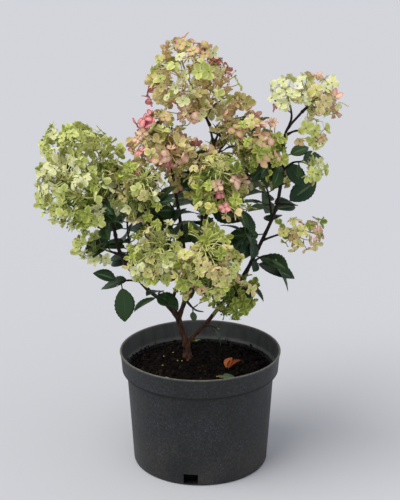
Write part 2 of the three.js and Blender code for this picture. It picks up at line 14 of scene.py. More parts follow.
import bpy
import numpy as np
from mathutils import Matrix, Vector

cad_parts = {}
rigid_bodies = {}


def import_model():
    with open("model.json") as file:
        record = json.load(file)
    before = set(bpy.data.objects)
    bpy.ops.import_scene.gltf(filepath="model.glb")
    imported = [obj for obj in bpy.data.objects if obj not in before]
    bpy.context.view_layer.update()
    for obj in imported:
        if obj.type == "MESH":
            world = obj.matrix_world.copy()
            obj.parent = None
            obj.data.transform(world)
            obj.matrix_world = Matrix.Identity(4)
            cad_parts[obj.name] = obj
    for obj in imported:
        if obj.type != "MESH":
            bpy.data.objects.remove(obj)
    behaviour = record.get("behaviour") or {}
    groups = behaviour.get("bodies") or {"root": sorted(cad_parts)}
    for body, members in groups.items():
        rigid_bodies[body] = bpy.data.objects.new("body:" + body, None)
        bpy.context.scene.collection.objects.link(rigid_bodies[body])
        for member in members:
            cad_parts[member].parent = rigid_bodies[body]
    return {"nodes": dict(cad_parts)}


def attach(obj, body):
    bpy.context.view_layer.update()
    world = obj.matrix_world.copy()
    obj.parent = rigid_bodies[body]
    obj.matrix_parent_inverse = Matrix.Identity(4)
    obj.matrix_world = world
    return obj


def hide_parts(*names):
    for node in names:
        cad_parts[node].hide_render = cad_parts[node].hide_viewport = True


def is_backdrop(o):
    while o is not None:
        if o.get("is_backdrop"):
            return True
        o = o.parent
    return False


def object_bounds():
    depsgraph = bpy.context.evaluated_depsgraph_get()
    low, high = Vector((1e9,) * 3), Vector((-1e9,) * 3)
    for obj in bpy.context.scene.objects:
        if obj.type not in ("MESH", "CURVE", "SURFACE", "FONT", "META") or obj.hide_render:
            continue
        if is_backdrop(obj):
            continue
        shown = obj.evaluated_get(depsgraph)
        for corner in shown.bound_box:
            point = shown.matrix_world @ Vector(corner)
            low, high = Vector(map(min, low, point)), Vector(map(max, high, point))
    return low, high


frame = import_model()
cad_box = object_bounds()
MM = 0.001  # the lesson's sizes are in millimetres, and Blender's in metres

print("Plain model:", len(frame["nodes"]), "solids, from", [round(v, 3) for v in cad_box[0]],
      "to", [round(v, 3) for v in cad_box[1]])

# %% [markdown]
# ## Camera
# The camera comes first, because the pot's outline in the photograph tells where it stood: an 85 mm lens,
# 1.78 m in front of the pot and 0.92 m up, looking down 17.5 degrees. The lens is given for a frame 36 mm
# high. Aiming at a target is easier to set up, but here the tilt was measured, so it is given as an angle.

# %% Camera
CAMERA_PLACE = (-0.0006, -1.778, 0.919)
CAMERA_PITCH = 17.54  # degrees below level
CAMERA_LENS = 84.96  # its focal length, in millimetres
FRAME_HEIGHT = 36.0

camera = bpy.data.objects.new("camera", bpy.data.cameras.new("camera"))
camera.location = CAMERA_PLACE
camera.rotation_euler = (np.radians(90 - CAMERA_PITCH), 0, 0)
camera.data.sensor_fit = "VERTICAL"
camera.data.sensor_height = FRAME_HEIGHT
camera.data.lens = CAMERA_LENS
bpy.context.scene.collection.objects.link(camera)
bpy.context.scene.camera = camera
print("Camera at", CAMERA_PLACE, "looking down", CAMERA_PITCH, "degrees")

# %% [markdown]
# ## Colours
# A colour is easiest to choose as the eye sees it, from 0 to 255 on a screen. Blender works with amounts of
# light, so one function turns the first into the second, and every colour in the lesson goes through it.

# %% Colours
SCREEN_POWER = 2.2


def tint(red, green, blue):
    """A colour given as the eye sees it, from 0 to 255, as Blender's linear numbers: a share to the power
    2.2."""
    return (*[(part / 255) ** SCREEN_POWER for part in (red, green, blue)], 1.0)


print("A middle grey gives back", round(tint(128, 128, 128)[0], 3), "of the light")

# %% [markdown]
# ## Floor and light
# The floor is a large pale plane that fills the picture. Lamps close by would leave bright pools on it, so
# the light comes from two very broad suns, one like a window on the left and a weak one on the right, and
# from an even pale sky.

# %% Floor and light
FLOOR_SIZE = 60.0
SUNS = {  # the side it shines from, its width in degrees, strength, colour
    "window": ((-1.3, -0.7, 2.2), 50, 2.0, tint(255, 253, 249)),
    "fill": ((1.6, -1.4, 0.8), 90, 0.4, tint(246, 249, 255)),
}
SKY = tint(236, 239, 246)
SKY_STRENGTH = 0.6

bpy.ops.mesh.primitive_plane_add(size=FLOOR_SIZE)
floor = bpy.context.object
floor.name = "floor"
floor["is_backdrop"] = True

for name, (side, width, strength, colour) in SUNS.items():
    sun = bpy.data.objects.new(name, bpy.data.lights.new(name, "SUN"))
    sun.data.angle = np.radians(width)
    sun.data.energy = strength
    sun.data.color = colour[:3]
    x, y, z = side
    sun.rotation_euler = (np.arctan2(np.hypot(x, y), z), 0, np.arctan2(-x, y) + np.pi)
    bpy.context.scene.collection.objects.link(sun)

world = bpy.data.worlds.new("sky")
world.use_nodes = True
world.node_tree.nodes["Background"].inputs["Color"].default_value = SKY
world.node_tree.nodes["Background"].inputs["Strength"].default_value = SKY_STRENGTH
bpy.context.scene.world = world
bpy.context.scene.view_settings.view_transform = "Standard"
print(len(SUNS), "suns, and a sky of strength", SKY_STRENGTH)

# %% [markdown]
# ## The rule by which the shrub grows
# Boughs could be drawn by hand, but then leaves and flowers would have nothing to grow from. Here each limb
# and shoot is a smooth line through three to five places, starting on its parent's line. A shoot claims a
# room: a row of balls along it, narrow round the stem and as wide as its flower cone above. A leaf or
# flower is kept where it lies deeper in its own room than in any other, and clear of the wood.
#
# No two leaves are alike, yet each run has to grow the same shrub. So chance comes from a source of numbers
# that starts from a seed.

# %% Numbers that are the same at every run
MULTIPLIER, MODULUS = 48271, 2147483647
SEED_STEP, SEED_START = 7919, 17


def seeded_numbers(seed):
    """A source of numbers from 0 to 1. The first state is the seed times 7919, plus 17. Each next one is the
    last times 48271, kept to its remainder by 2147483647."""
    state = seed * SEED_STEP + SEED_START
    while True:
        state = state * MULTIPLIER % MODULUS
        yield state / MODULUS


print("Seed 1 gives", round(next(seeded_numbers(1)), 4), "first")

# %% [markdown]
# A bough bends where it grew towards the light, so its line is a smooth curve through a few places. One of
# Blender's curve objects could hold it. But points, directions and sides are asked for thousands of times
# here, so the curve is worked out as arrays. The plain model's boughs follow the same formula.

# %% A line that grows
UP = np.array([0.0, 0.0, 1.0])


def unit(vectors):
    """Vectors at length 1."""
    return vectors / np.linalg.norm(vectors, axis=-1, keepdims=True)


class GrowthLine:
    """A smooth line through places. Each span is a cubic whose slope at a place is the mean of the slopes
    of the chords beside it, weighted by the square roots of their lengths. Distances along it are in
    millimetres."""

    DIVISIONS = 200
    SAMPLE_STEP = 8
    SMALL_SHARE = 1e-4
    STEEP = 0.95  # a line that rises more steeply takes its sides from the Y axis

    def __init__(self, places):
        places = np.array(places, float)
        before, after = 2 * places[0] - places[1], 2 * places[-1] - places[-2]
        self.knots = np.vstack([before, places, after])
        self.steps = np.linalg.norm(np.diff(self.knots, axis=0), axis=1)[:, None] ** 0.5
        self.shares = np.linspace(0, 1, self.DIVISIONS + 1)
        chords = np.linalg.norm(np.diff(self.point(self.shares), axis=0), axis=1)
        self.reached = np.concatenate([[0], np.cumsum(chords)])
        self.length = self.reached[-1]
        pieces = int(np.ceil(self.length / self.SAMPLE_STEP))
        self.samples = self.at(np.linspace(0, self.length, pieces + 1))

    def point(self, share):
        """The point at a share of the spans: x1 + w slope + w^2 square + w^3 cube, with w the share within
        its span. square and cube are those with which the span ends at x2 with the next slope."""
        spans = len(self.knots) - 3
        place = np.clip(np.asarray(share, float), 0, 1) * spans
        i = np.minimum(place.astype(int), spans - 1)
        w = (place - i)[..., None]
        x0, x1, x2, x3 = (self.knots[i + k] for k in range(4))
        d0, d1, d2 = (self.steps[i + k] for k in range(3))
        slope = ((x1 - x0) / d0 - (x2 - x0) / (d0 + d1) + (x2 - x1) / d1) * d1
        next_slope = ((x2 - x1) / d1 - (x3 - x1) / (d1 + d2) + (x3 - x2) / d2) * d1
        square = -3 * x1 + 3 * x2 - 2 * slope - next_slope
        cube = 2 * x1 - 2 * x2 + slope + next_slope
        return x1 + w * (slope + w * (square + w * cube))

    def share(self, distance):
        """The share of the spans at a distance along the line."""
        return np.interp(distance, self.reached, self.shares)

    def at(self, distance):
        """The point at a distance along the line."""
        return self.point(self.share(distance))

    def direction(self, distance):
        """Which way the line runs: from a point just before to one just after, at length 1."""
        share = self.share(distance)
        after = self.point(np.minimum(1, share + self.SMALL_SHARE))
        return unit(after - self.point(np.maximum(0, share - self.SMALL_SHARE)))

    def outward(self, distance, turn):
        """A direction square to the line, turned about it: side cos(turn) + other sin(turn)."""
        along = self.direction(distance)
        level = np.where(np.abs(along[..., 2:]) > self.STEEP, [0.0, 1.0, 0.0], UP)
        side = unit(np.cross(level, along))
        turn = np.asarray(turn, float)[..., None]
        return side * np.cos(turn) + np.cross(along, side) * np.sin(turn)

# %% [markdown]
# The trunk forks low, and four lines of boughs rise from it. Each limb is given by the places that it
# passes, in millimetres, and by its parent. along is the share of the parent's length at which it starts, or
# else it starts at the parent's tip. thick is its radius at its foot and tip, and socket the length at its
# foot that belongs to the parent.

# %% Limbs
TRUNK_CUT = 164.3  # the height at which the plain trunk ends, just over the compost
TRUNK_SUNK = 6  # how far below that its line starts
TRUNK_FOOT = (-20.5, 22, TRUNK_CUT - TRUNK_SUNK)
LIMBS = {
    "trunk": dict(via=[(-24, 22, 192), (-30, 22, 212), (-36, 22, 234)], thick=(5.8, 4.6)),
    "left_bough": dict(
        via=[(-57, 10, 264), (-83, -5, 292), (-115, -20, 337)],
        parent="trunk", thick=(3.3, 2.9), socket=14),
    "left_upper_bough": dict(
        via=[(-128, -24, 368), (-134, -25, 401), (-140, -25, 420)],
        parent="left_bough", thick=(2.9, 2.6)),
    "centre_bough": dict(
        via=[(-26, 20, 262), (-20, 18, 292), (-24, 14, 335), (-28, 10, 370)],
        parent="trunk", thick=(3.6, 3), socket=14),
    "centre_upper_bough": dict(
        via=[(-32, 7, 405), (-37, 5, 440), (-45, 4, 495)],
        parent="centre_bough", thick=(3, 2.1)),
    "top_bough": dict(
        via=[(-45, 36, 256), (-36, 44, 285), (-12, 48, 325), (8, 46, 395)],
        parent="trunk", thick=(2.9, 2.5), socket=14),
    "top_upper_bough": dict(
        via=[(16, 44, 430), (25, 40, 480), (15, 32, 550)],
        parent="top_bough", thick=(2.5, 1.8)),
    "right_bough": dict(
        via=[(-10, 24, 203), (4, 30, 215), (19, 35, 232), (46, 38, 267), (71, 35, 302)],
        parent="trunk", along=0.36, thick=(3.4, 3.1), socket=11),
    "right_middle_bough": dict(
        via=[(94, 30, 353), (120, 25, 419), (128, 22, 470)],
        parent="right_bough", thick=(3.1, 2.6)),
    "right_upper_bough": dict(
        via=[(130, 18, 505), (132, 15, 543), (155, 10, 575)],
        parent="right_middle_bough", thick=(2.6, 1.8)),
}
print(len(LIMBS), "limbs")

# %% [markdown]
# A flower shoot is written like a limb. bloom is the length and the greatest radius of its flower cone,
# flowers the number of places tried there, and leaf the length of its leaves. The photograph shows one side
# only, so the front ones reach towards the viewer and four at the back are invented.

# %% Flower shoots
FLOWER_SHOOTS = {
    "left_upper_bloom": dict(
        via=[(-150, -14, 454), (-178, 2, 490), (-230, 12, 540)],
        parent="left_upper_bough", bloom=(118, 66), flowers=24, leaf=52),
    "left_lower_bloom": dict(
        via=[(-158, -50, 446), (-190, -68, 470), (-240, -74, 496)],
        parent="left_upper_bough", along=0.75, bloom=(92, 54), flowers=20, leaf=50),
    "left_drop_bloom": dict(
        via=[(-142, -34, 366), (-162, -34, 374), (-192, -30, 380)],
        parent="left_upper_bough", along=0.25, bloom=(46, 31), flowers=8, leaf=34),
    "middle_left_bloom": dict(
        via=[(-50, -14, 398), (-74, -44, 440), (-104, -62, 502)],
        parent="centre_bough", along=0.97, bloom=(60, 42), flowers=13, leaf=54),
    "pink_bloom": dict(
        via=[(-54, 0, 518), (-76, -6, 576)],
        parent="centre_upper_bough", bloom=(88, 58), flowers=19, leaf=50),
    "top_bloom": dict(
        via=[(-2, 30, 586), (-16, 26, 618), (-38, 20, 678)],
        parent="top_upper_bough", bloom=(114, 73), flowers=31, leaf=44),
    "top_right_bloom": dict(
        via=[(34, 10, 554), (48, -4, 572), (60, -12, 602)],
        parent="top_upper_bough", along=0.8, bloom=(60, 38), flowers=11, leaf=40),
    "centre_bloom": dict(
        via=[(18, 8, 454), (22, -32, 476), (32, -88, 504)],
        parent="top_upper_bough", along=0.2, bloom=(80, 50), flowers=19, leaf=52),
    "right_centre_bloom": dict(
        via=[(114, -4, 504), (96, -20, 520), (66, -38, 572)],
        parent="right_upper_bough", along=0.1, bloom=(78, 46), flowers=14, leaf=46),
    "back_top_bloom": dict(
        via=[(30, 54, 504), (42, 70, 516), (54, 86, 552)],
        parent="top_upper_bough", along=0.55, bloom=(46, 34), flowers=8, leaf=40),
    "right_top_bloom": dict(
        via=[(168, 10, 588), (180, 6, 600), (204, 0, 618)],
        parent="right_upper_bough", bloom=(46, 42), flowers=10, leaf=34),
    "right_top_left_bloom": dict(
        via=[(138, -14, 576), (132, -32, 600), (122, -44, 632)],
        parent="right_upper_bough", along=0.75, bloom=(40, 32), flowers=7, leaf=30),
    "right_middle_bloom": dict(
        via=[(148, -6, 550), (166, -20, 548), (186, -30, 534)],
        parent="right_upper_bough", along=0.6, bloom=(38, 30), flowers=6, leaf=30),
    "right_side_bloom": dict(
        via=[(146, -2, 500), (164, -14, 500), (184, -26, 482)],
        parent="right_upper_bough", along=0.1, bloom=(32, 22), flowers=4, leaf=44),
    "right_low_bloom": dict(
        via=[(120, -2, 382), (148, -20, 396), (188, -34, 392)],
        parent="right_middle_bough", along=0.38, bloom=(56, 38), flowers=9, leaf=44),
    "front_left_bloom": dict(
        via=[(-38, -32, 376), (-62, -76, 378), (-92, -104, 346)],
        parent="centre_bough", along=0.68, bloom=(84, 50), flowers=17, leaf=46),
    "front_right_bloom": dict(
        via=[(-8, -40, 374), (4, -82, 378), (14, -122, 326)],
        parent="centre_bough", along=0.8, bloom=(80, 54), flowers=18, leaf=46),
    "low_right_bloom": dict(
        via=[(68, 6, 306), (56, -20, 302), (34, -44, 260)],
        parent="right_bough", along=0.9, bloom=(52, 38), flowers=9, leaf=38),
    "back_left_bloom": dict(
        via=[(-116, 28, 380), (-118, 74, 425), (-118, 112, 470)],
        parent="left_bough", along=0.85, bloom=(76, 50), flowers=8, leaf=52),
    "back_middle_bloom": dict(
        via=[(0, 84, 410), (-16, 112, 450), (-32, 130, 500)],
        parent="top_bough", along=0.9, bloom=(78, 52), flowers=8, leaf=54),
    "back_right_bloom": dict(
        via=[(110, 66, 430), (98, 98, 465), (84, 116, 512)],
        parent="right_middle_bough", along=0.6, bloom=(74, 46), flowers=8, leaf=52),
}
print(len(FLOWER_SHOOTS), "flower shoots, for", sum(spec["flowers"] for spec in FLOWER_SHOOTS.values()),
      "flowers at most")

# %% [markdown]
# In the shade low down, a shoot stays short and ends in leaves. girth is the radius of the room that it
# claims. With these the list is whole, and each line can start on its parent's.

# %% Leaf shoots, and the lines of all
LEAF_SHOOTS = {
    "left_low_leaves": dict(
        via=[(-120, -38, 318), (-132, -52, 312)],
        parent="left_bough", along=0.75, girth=34, leaf=48),
    "fork_leaves": dict(
        via=[(-66, -14, 290), (-56, -30, 300)],
        parent="left_bough", along=0.35, girth=36, leaf=40),
    "collar_leaves": dict(
        via=[(-8, 6, 254), (8, -4, 254)],
        parent="centre_bough", along=0.25, girth=34, leaf=26),
    "foot_leaves": dict(
        via=[(20, 14, 222), (34, 4, 220)],
        parent="right_bough", along=0.3, girth=26, leaf=30),
    "front_leaves": dict(
        via=[(-18, -8, 312), (-10, -30, 310)],
        parent="centre_bough", along=0.45, girth=34, leaf=44),
    "right_inner_leaves": dict(
        via=[(84, 8, 372), (68, -8, 388)],
        parent="right_middle_bough", along=0.3, girth=40, leaf=50),
    "right_fork_leaves": dict(
        via=[(106, 6, 346), (124, -6, 340)],
        parent="right_middle_bough", along=0.14, girth=36, leaf=52),
    "right_long_leaves": dict(
        via=[(140, 6, 430), (156, -2, 430)],
        parent="right_middle_bough", along=0.75, girth=34, leaf=62),
}
SHOOTS = {**FLOWER_SHOOTS, **LEAF_SHOOTS}
LIMBS_AND_SHOOTS = {**LIMBS, **SHOOTS}

lines = {}
for name, spec in LIMBS_AND_SHOOTS.items():
    parent = lines.get(spec.get("parent"))
    foot = parent.at(spec.get("along", 1) * parent.length) if parent else TRUNK_FOOT
    lines[name] = GrowthLine([foot, *spec["via"]])
whole_length = sum(line.length for line in lines.values())
print(len(LIMBS), "limbs and", len(SHOOTS), "shoots,", round(whole_length), "mm in all")

# %% [markdown]
# A flower cone swells quickly from its foot and closes in a blunt tip. Its room could be a mesh, tested
# face by face, but a row of balls is tested by distances alone. The wood is kept clear in the same way, as
# short straight pieces with a radius.

# %% How thick each one is, and the room that each shoot claims
STEM_FOOT, STEM_TIP = 1.9, 1.0  # a shoot's radius at its foot and tip
SOCKET_EXTRA = 3  # a socket is this much longer than its parent is thick
ROOM_STEP = 8
STEM_ROOM = 0.6  # the room round a flower shoot's stem, as a share of its leaves' length
LEAST_ROOM = 0.45  # the least room in a cone, as a share of its greatest radius


def radius_of(name, distance):
    """The radius of a limb or stem, which thins evenly from its foot to its tip."""
    foot, tip = LIMBS[name]["thick"] if name in LIMBS else (STEM_FOOT, STEM_TIP)
    return foot + (tip - foot) * distance / lines[name].length


def socket_of(name):
    """The length at its foot that is part of its parent."""
    spec = LIMBS_AND_SHOOTS[name]
    if "parent" not in spec:
        return 0
    parent = spec["parent"]
    parent_radius = radius_of(parent, spec.get("along", 1) * lines[parent].length)
    return spec.get("socket") or parent_radius * 2 + SOCKET_EXTRA


def cone_foot_of(name, spec):
    """The distance along a shoot at which its flower cone starts. A leaf shoot has none before its tip."""
    return lines[name].length - (spec["bloom"][0] if "bloom" in spec else 0)


def cone_share(t):
    """The width of a flower cone from its foot, 0, to its tip, 1: it swells over the first quarter, and
    then closes as (1 - t^4)^0.6."""
    return (0.75 + 0.25 * np.minimum(1, t / 0.25)) * np.maximum(0, 1 - t**4) ** 0.6


def room_of(name, spec):
    """Balls along a shoot, as their middles and radii."""
    line = lines[name]
    count = int(np.ceil(line.length / ROOM_STEP))
    at = line.length * np.arange(count + 1) / count
    stem = spec.get("girth") or spec["leaf"] * STEM_ROOM
    radii = np.full(count + 1, float(stem))
    if "bloom" in spec:
        length, girth = spec["bloom"]
        t = (at - (line.length - length)) / length
        cone = girth * np.maximum(LEAST_ROOM, cone_share(np.maximum(0, t)))
        radii = np.where(t > 0, cone, radii)
    return line.at(at), radii


rooms = [room_of(name, spec) for name, spec in SHOOTS.items()]
room_middles = np.concatenate([middles for middles, _ in rooms])
room_radii = np.concatenate([radii for _, radii in rooms])
room_starts = np.cumsum([0] + [len(radii) for _, radii in rooms])[:-1]

wood = [(lines[name].samples, max(spec["thick"])) for name, spec in LIMBS.items()]
for name, spec in LIMBS_AND_SHOOTS.items():
    if "parent" in spec:
        socket = lines[name].at(socket_of(name) * np.array([0, 0.5, 1]))
        wood.append((GrowthLine(socket).samples, radius_of(name, 0)))
wood_from = np.concatenate([samples[:-1] for samples, _ in wood])
wood_to = np.concatenate([samples[1:] for samples, _ in wood])
wood_radii = np.concatenate([np.full(len(samples) - 1, radius) for samples, radius in wood])
print(len(room_radii), "balls of room, and", len(wood_radii), "pieces of wood to keep clear of")

# %% [markdown]
# A leaf or flower fits where all its points pass three tests: deeper in their own shoot's room than in any
# other, far enough from the wood, and above the compost.

# %% Whether something fits there
CLEAR = 1.2  # the least gap to anything else
FLOWER_SIZE = 23.5  # the radius of a plain flower
SOIL_TOP = 164


def depths(points):
    """How deep points lie in each shoot's room: the least distance to a ball's middle as a share of its
    radius."""
    squares = (points**2).sum(1)[:, None] + (room_middles**2).sum(1) - 2 * points @ room_middles.T
    return np.minimum.reduceat(np.sqrt(np.maximum(0, squares)) / room_radii, room_starts, axis=1)


def wood_gap(points):
    """The distance from points to the nearest wood: the nearest point of each straight piece, less its
    radius."""
    run = wood_to - wood_from
    share = ((points @ run.T) - (wood_from * run).sum(1)) / (run**2).sum(1)
    nearest = wood_from + np.clip(share, 0, 1)[..., None] * run
    return (np.linalg.norm(points[:, None] - nearest, axis=2) - wood_radii).min(1)


def in_own_space(points, mass):
    """Which points lie deeper in a shoot's own room than in any other, clear of the wood and over the
    soil."""
    deep = depths(points)
    own = deep[:, mass] + CLEAR / FLOWER_SIZE / 2
    others = np.delete(deep, mass, axis=1).min(1)
    return (own < others) & (wood_gap(points) > CLEAR) & (points[:, 2] > SOIL_TOP + CLEAR)

# %% [markdown]
# ## Where the solids have their leaves and flowers
# The solids' rule is written again here, with the same draws of chance in the same order. A solid's flower
# is a plain star that stands for a spray, and its leaf is a plain blade. Neither is drawn here. They only
# tell which places are kept: those with room for all their corners and for points along their edges.

# %% The solids' plain flower and leaf
FLOWER_THICK = 1.8
SEPAL_SPREAD = np.radians(31)  # from a sepal's midline to its corners
SEPAL_NOTCH = 0.5  # the radius between two sepals, as a share of the flower's
SEPAL_CUP = 0.16  # how far the corners rise, as a share of the radius
TWIG_RADIUS = 0.9
LEAF_THICK = 1.6
LEAF_WIDTH, LEAF_DROOP = 0.54, 0.3  # shares of a leaf's length
LEAF_FOLD = 0.25  # how far the sides rise, as a share of half the width
PETIOLE = 9  # a leaf's own stalk


def axes(facing, along):
    """Three axes: z faces out, and x is as near to along as z allows."""
    z = unit(facing)
    y = unit(np.cross(z, along))
    return np.stack([np.cross(y, z), y, z], axis=-2)


def ring(count, radius, shift=0.0):
    """Points evenly round the z axis: radius (cos, sin)."""
    turn = 2 * np.pi * (np.arange(count) + shift) / count
    return np.stack([radius * np.cos(turn), radius * np.sin(turn), np.zeros(count)], axis=1)


def star_points(middle, facing, twist, size, root):
    """Corners and edge points of a solid's flower: four blunt sepals, a thickness at the middle, and a
    stalk."""
    frame_axes = axes(facing, twist)
    turns = np.arange(4) * np.pi / 2
    polar = [(1, -SEPAL_SPREAD, SEPAL_CUP), (1, SEPAL_SPREAD, SEPAL_CUP), (SEPAL_NOTCH, np.pi / 4, 0)]
    rim = [(r * np.cos(t + a), r * np.sin(t + a), lift) for t in turns for r, a, lift in polar]
    edge = size * np.array(rim)
    thickness = np.array([[0, 0, FLOWER_THICK / 2]])
    neck = middle + (ring(3, TWIG_RADIUS, 0.5) - thickness) @ frame_axes
    foot = root + ring(3, TWIG_RADIUS, 0.5) @ frame_axes
    edge = middle + edge @ frame_axes
    points = np.concatenate([edge, neck, foot, middle + thickness @ frame_axes])
    neck_at, foot_at, top = len(rim), len(rim) + 3, len(rim) + 6
    pairs = [(foot_at, foot_at + 2)]
    for i in range(len(rim)):
        after = (i + 1) % len(rim)
        near, next_near = i * 3 // len(rim), after * 3 // len(rim)
        pairs += [(top, i), (neck_at + near, after)]
        pairs += [(neck_at + near, neck_at + next_near)] * (near != next_near)
    for k in range(3):
        pairs += [(neck_at + k, foot_at + k), (neck_at + k, foot_at + (k + 1) % 3)]
    return with_edges(points, pairs)


def with_edges(points, pairs):
    """Points, and the points a third and two thirds of the way along each pair."""
    start, end = np.array(pairs).T
    along = [points[start] + (points[end] - points[start]) * share for share in (0.33, 0.67)]
    return np.concatenate([points, *along])


def blade_points(foot, facing, along, length):
    """Corners and edge points of a solid's leaf: a blade folded up along its midrib that droops as the
    square of the distance along it, and a stalk."""
    half = length * LEAF_WIDTH / 2
    outline = np.array([(0.28, -0.86), (0.62, -0.9), (1, 0), (0.62, 0.9), (0.28, 0.86), (0.45, 0), (0.45, 0)])
    lift = LEAF_FOLD * np.abs(outline[:, 1]) * half - LEAF_DROOP * length * outline[:, 0] ** 2
    lift[-2:] += LEAF_THICK / 2 * np.array([1, -1])
    blade = np.stack([outline[:, 0] * length, outline[:, 1] * half, lift], axis=1)
    collar = TWIG_RADIUS * np.array([(0, 0, 1), (0, 0.87, -0.5), (0, -0.87, -0.5)])
    points = np.concatenate([collar, collar - [PETIOLE, 0, 0], blade])
    top, left, right, upper, under = 0, 1, 2, 11, 12
    rim = [right, 6, 7, 8, 9, 10, left]
    pairs = [(upper, left), (upper, top), (under, right), (top + 3, left + 3)]
    for i in range(1, len(rim)):
        pairs += [(upper, rim[i - 1]), (under, rim[i])]
    for a, b in [(top, left), (left, right), (right, top)]:
        pairs += [(a, b), (a, b + 3)]
    return foot + with_edges(points, pairs) @ axes(facing, along)

# %% [markdown]
# A pair of leaves stands square to the last pair, and each flower of a cone leaves the shoot at the golden
# angle from the last, so that no two lie in one row.

# %% Where a shoot's leaves and flowers are tried
GOLDEN_TURN = np.radians(137.5)
LEAF_SPACING = 24  # along the stem, from pair to pair
FIRST_LEAF = 9
STALK_SLANT = 0.6  # how far a flower's stalk runs forward, as a share of its reach
STALK_ROOM = 12  # how far below the cone a stalk may start
# The least value of each, and what chance adds to it.
LEAF_LEAN, LEAF_SIZES = (0.25, 0.3), (0.85, 0.3)
FLOWER_REACHES, FLOWER_SIZES = (0.84, 0.16), (0.88, 0.24)


def drawn(draw, least, more):
    """A drawn value: least + more times a number from 0 to 1."""
    return least + more * next(draw)


def leaf_at(line, distance, turn, length, draw):
    """A leaf square to the shoot, leaning along it: its blade's foot, facing, direction and length."""
    out = line.outward(distance, turn)
    along = unit(out + line.direction(distance) * drawn(draw, *LEAF_LEAN))
    facing = unit(UP - along * along[2])
    return line.at(distance) + along * PETIOLE, facing, along, length * drawn(draw, *LEAF_SIZES)


def turned_about(vector, axis, angle):
    """A vector turned about an axis: v cos + (axis x v) sin + axis (axis . v)(1 - cos)."""
    cos, sin = np.cos(angle), np.sin(angle)
    return vector * cos + np.cross(axis, vector) * sin + axis * (axis @ vector) * (1 - cos)


def cone_position(i, count):
    """How far up a cone its place i lies, from 1 at the tip to 0: 1 - ((i + 0.5) / count)^0.9."""
    return 1 - ((i + 0.5) / count) ** 0.9


def cone_facing(out, along, t):
    """Which way a flower faces: outward, forward by 0.25 + 0.5 t, and a little up."""
    return out + along * (0.25 + 0.5 * t) + UP * 0.25


def cone_places(spec, line, stem_foot, draw):
    """Places for a cone's flowers. Each leaves the shoot at the golden angle from the last, on a stalk that
    slants forward, and faces outward and a little up. The first place ends the shoot."""
    length, girth = spec["bloom"]
    cone_foot = line.length - length
    lowest_root = max(stem_foot + 2 * (CLEAR + TWIG_RADIUS), cone_foot - STALK_ROOM)
    spin = next(draw) * 2 * np.pi
    tip = line.length
    below_tip = line.at(tip - FLOWER_SIZE / 2)
    places = [(line.at(tip), line.direction(tip), line.outward(tip, 0), FLOWER_SIZE, below_tip)]
    for i in range(spec["flowers"]):
        t = cone_position(i, spec["flowers"])
        end_at = cone_foot + t * length
        out, along = line.outward(end_at, spin + i * GOLDEN_TURN), line.direction(end_at)
        reach = (girth - SEPAL_CUP * FLOWER_SIZE) * cone_share(t) * drawn(draw, *FLOWER_REACHES)
        twist = turned_about(along, out, next(draw) * np.pi)
        size = FLOWER_SIZE * drawn(draw, *FLOWER_SIZES)
        root = line.at(max(lowest_root, end_at - STALK_SLANT * reach))
        places.append((line.at(end_at) + out * reach, cone_facing(out, along, t), twist, size, root))
    return places

# %% [markdown]
# Each place is tried at its full size first, and then turned aside, pulled in or made smaller, until it
# fits or is given up.

# %% Growing each shoot as the solids do
SEAT_GAP = 0.3  # between a stem's foot and its socket
FIRST_SEED = 120
BELOW_CONE = 4  # the last pair of leaves stands at least this far below the flowers
FLOWER_SPACING = 1.33  # the least distance between two flowers, in flower radii
LEAF_TRIES = [(0, 1), (0.5, 0.85), (-0.5, 0.85), (0, 0.6)]  # turned aside, and the size
FLOWER_TRIES = [(0, 1), (0.15, 0.95), (0.3, 0.9), (0.45, 0.85), (0.6, 0.8)]  # pulled in, and the size


def grow(mass, name, spec):
    """A shoot's leaves and flowers, each tried until it fits: its leaves as (foot, facing, along, length),
    and its flowers as (middle, facing, root)."""
    draw = seeded_numbers(FIRST_SEED + mass)
    line = lines[name]
    foot = socket_of(name) + SEAT_GAP
    leaves, flowers = [], []
    turn = next(draw) * np.pi
    at = foot + FIRST_LEAF
    while at < cone_foot_of(name, spec) - BELOW_CONE:
        for half in (0, np.pi):
            for swing, shrink in LEAF_TRIES:
                leaf = leaf_at(line, at, turn + half + swing, spec["leaf"] * shrink, draw)
                if in_own_space(blade_points(*leaf), mass).all():
                    leaves.append(leaf)
                    break
        turn += np.pi / 2
        at += LEAF_SPACING
    for middle, facing, twist, size, root in cone_places(spec, line, foot, draw) if "bloom" in spec else []:
        for pull, shrink in FLOWER_TRIES:
            place = middle + (root - middle) * pull
            gap = FLOWER_SPACING * FLOWER_SIZE
            free = all(np.linalg.norm(other - place) > gap for other, _, _ in flowers)
            if free and in_own_space(star_points(place, facing, twist, size * shrink, root), mass).all():
                flowers.append((place, unit(facing), root))
                break
    return leaves, flowers


grown = {name: grow(i, name, spec) for i, (name, spec) in enumerate(SHOOTS.items())}
print("Kept", sum(len(leaves) for leaves, _ in grown.values()), "leaves and",
      sum(len(flowers) for _, flowers in grown.values()), "sprays of flowers")

# %% [markdown]
# ## Finishes
# A finish is a tree of shader nodes. Written node by node it is long and hard to read, so sums are written
# as Python expressions here: a small class wraps a socket, and each sum adds its Math node. Everything else
# is one call with the node's type, its settings and what feeds it. Patterns read Object coordinates, in
# metres, because every piece keeps its object at the origin.

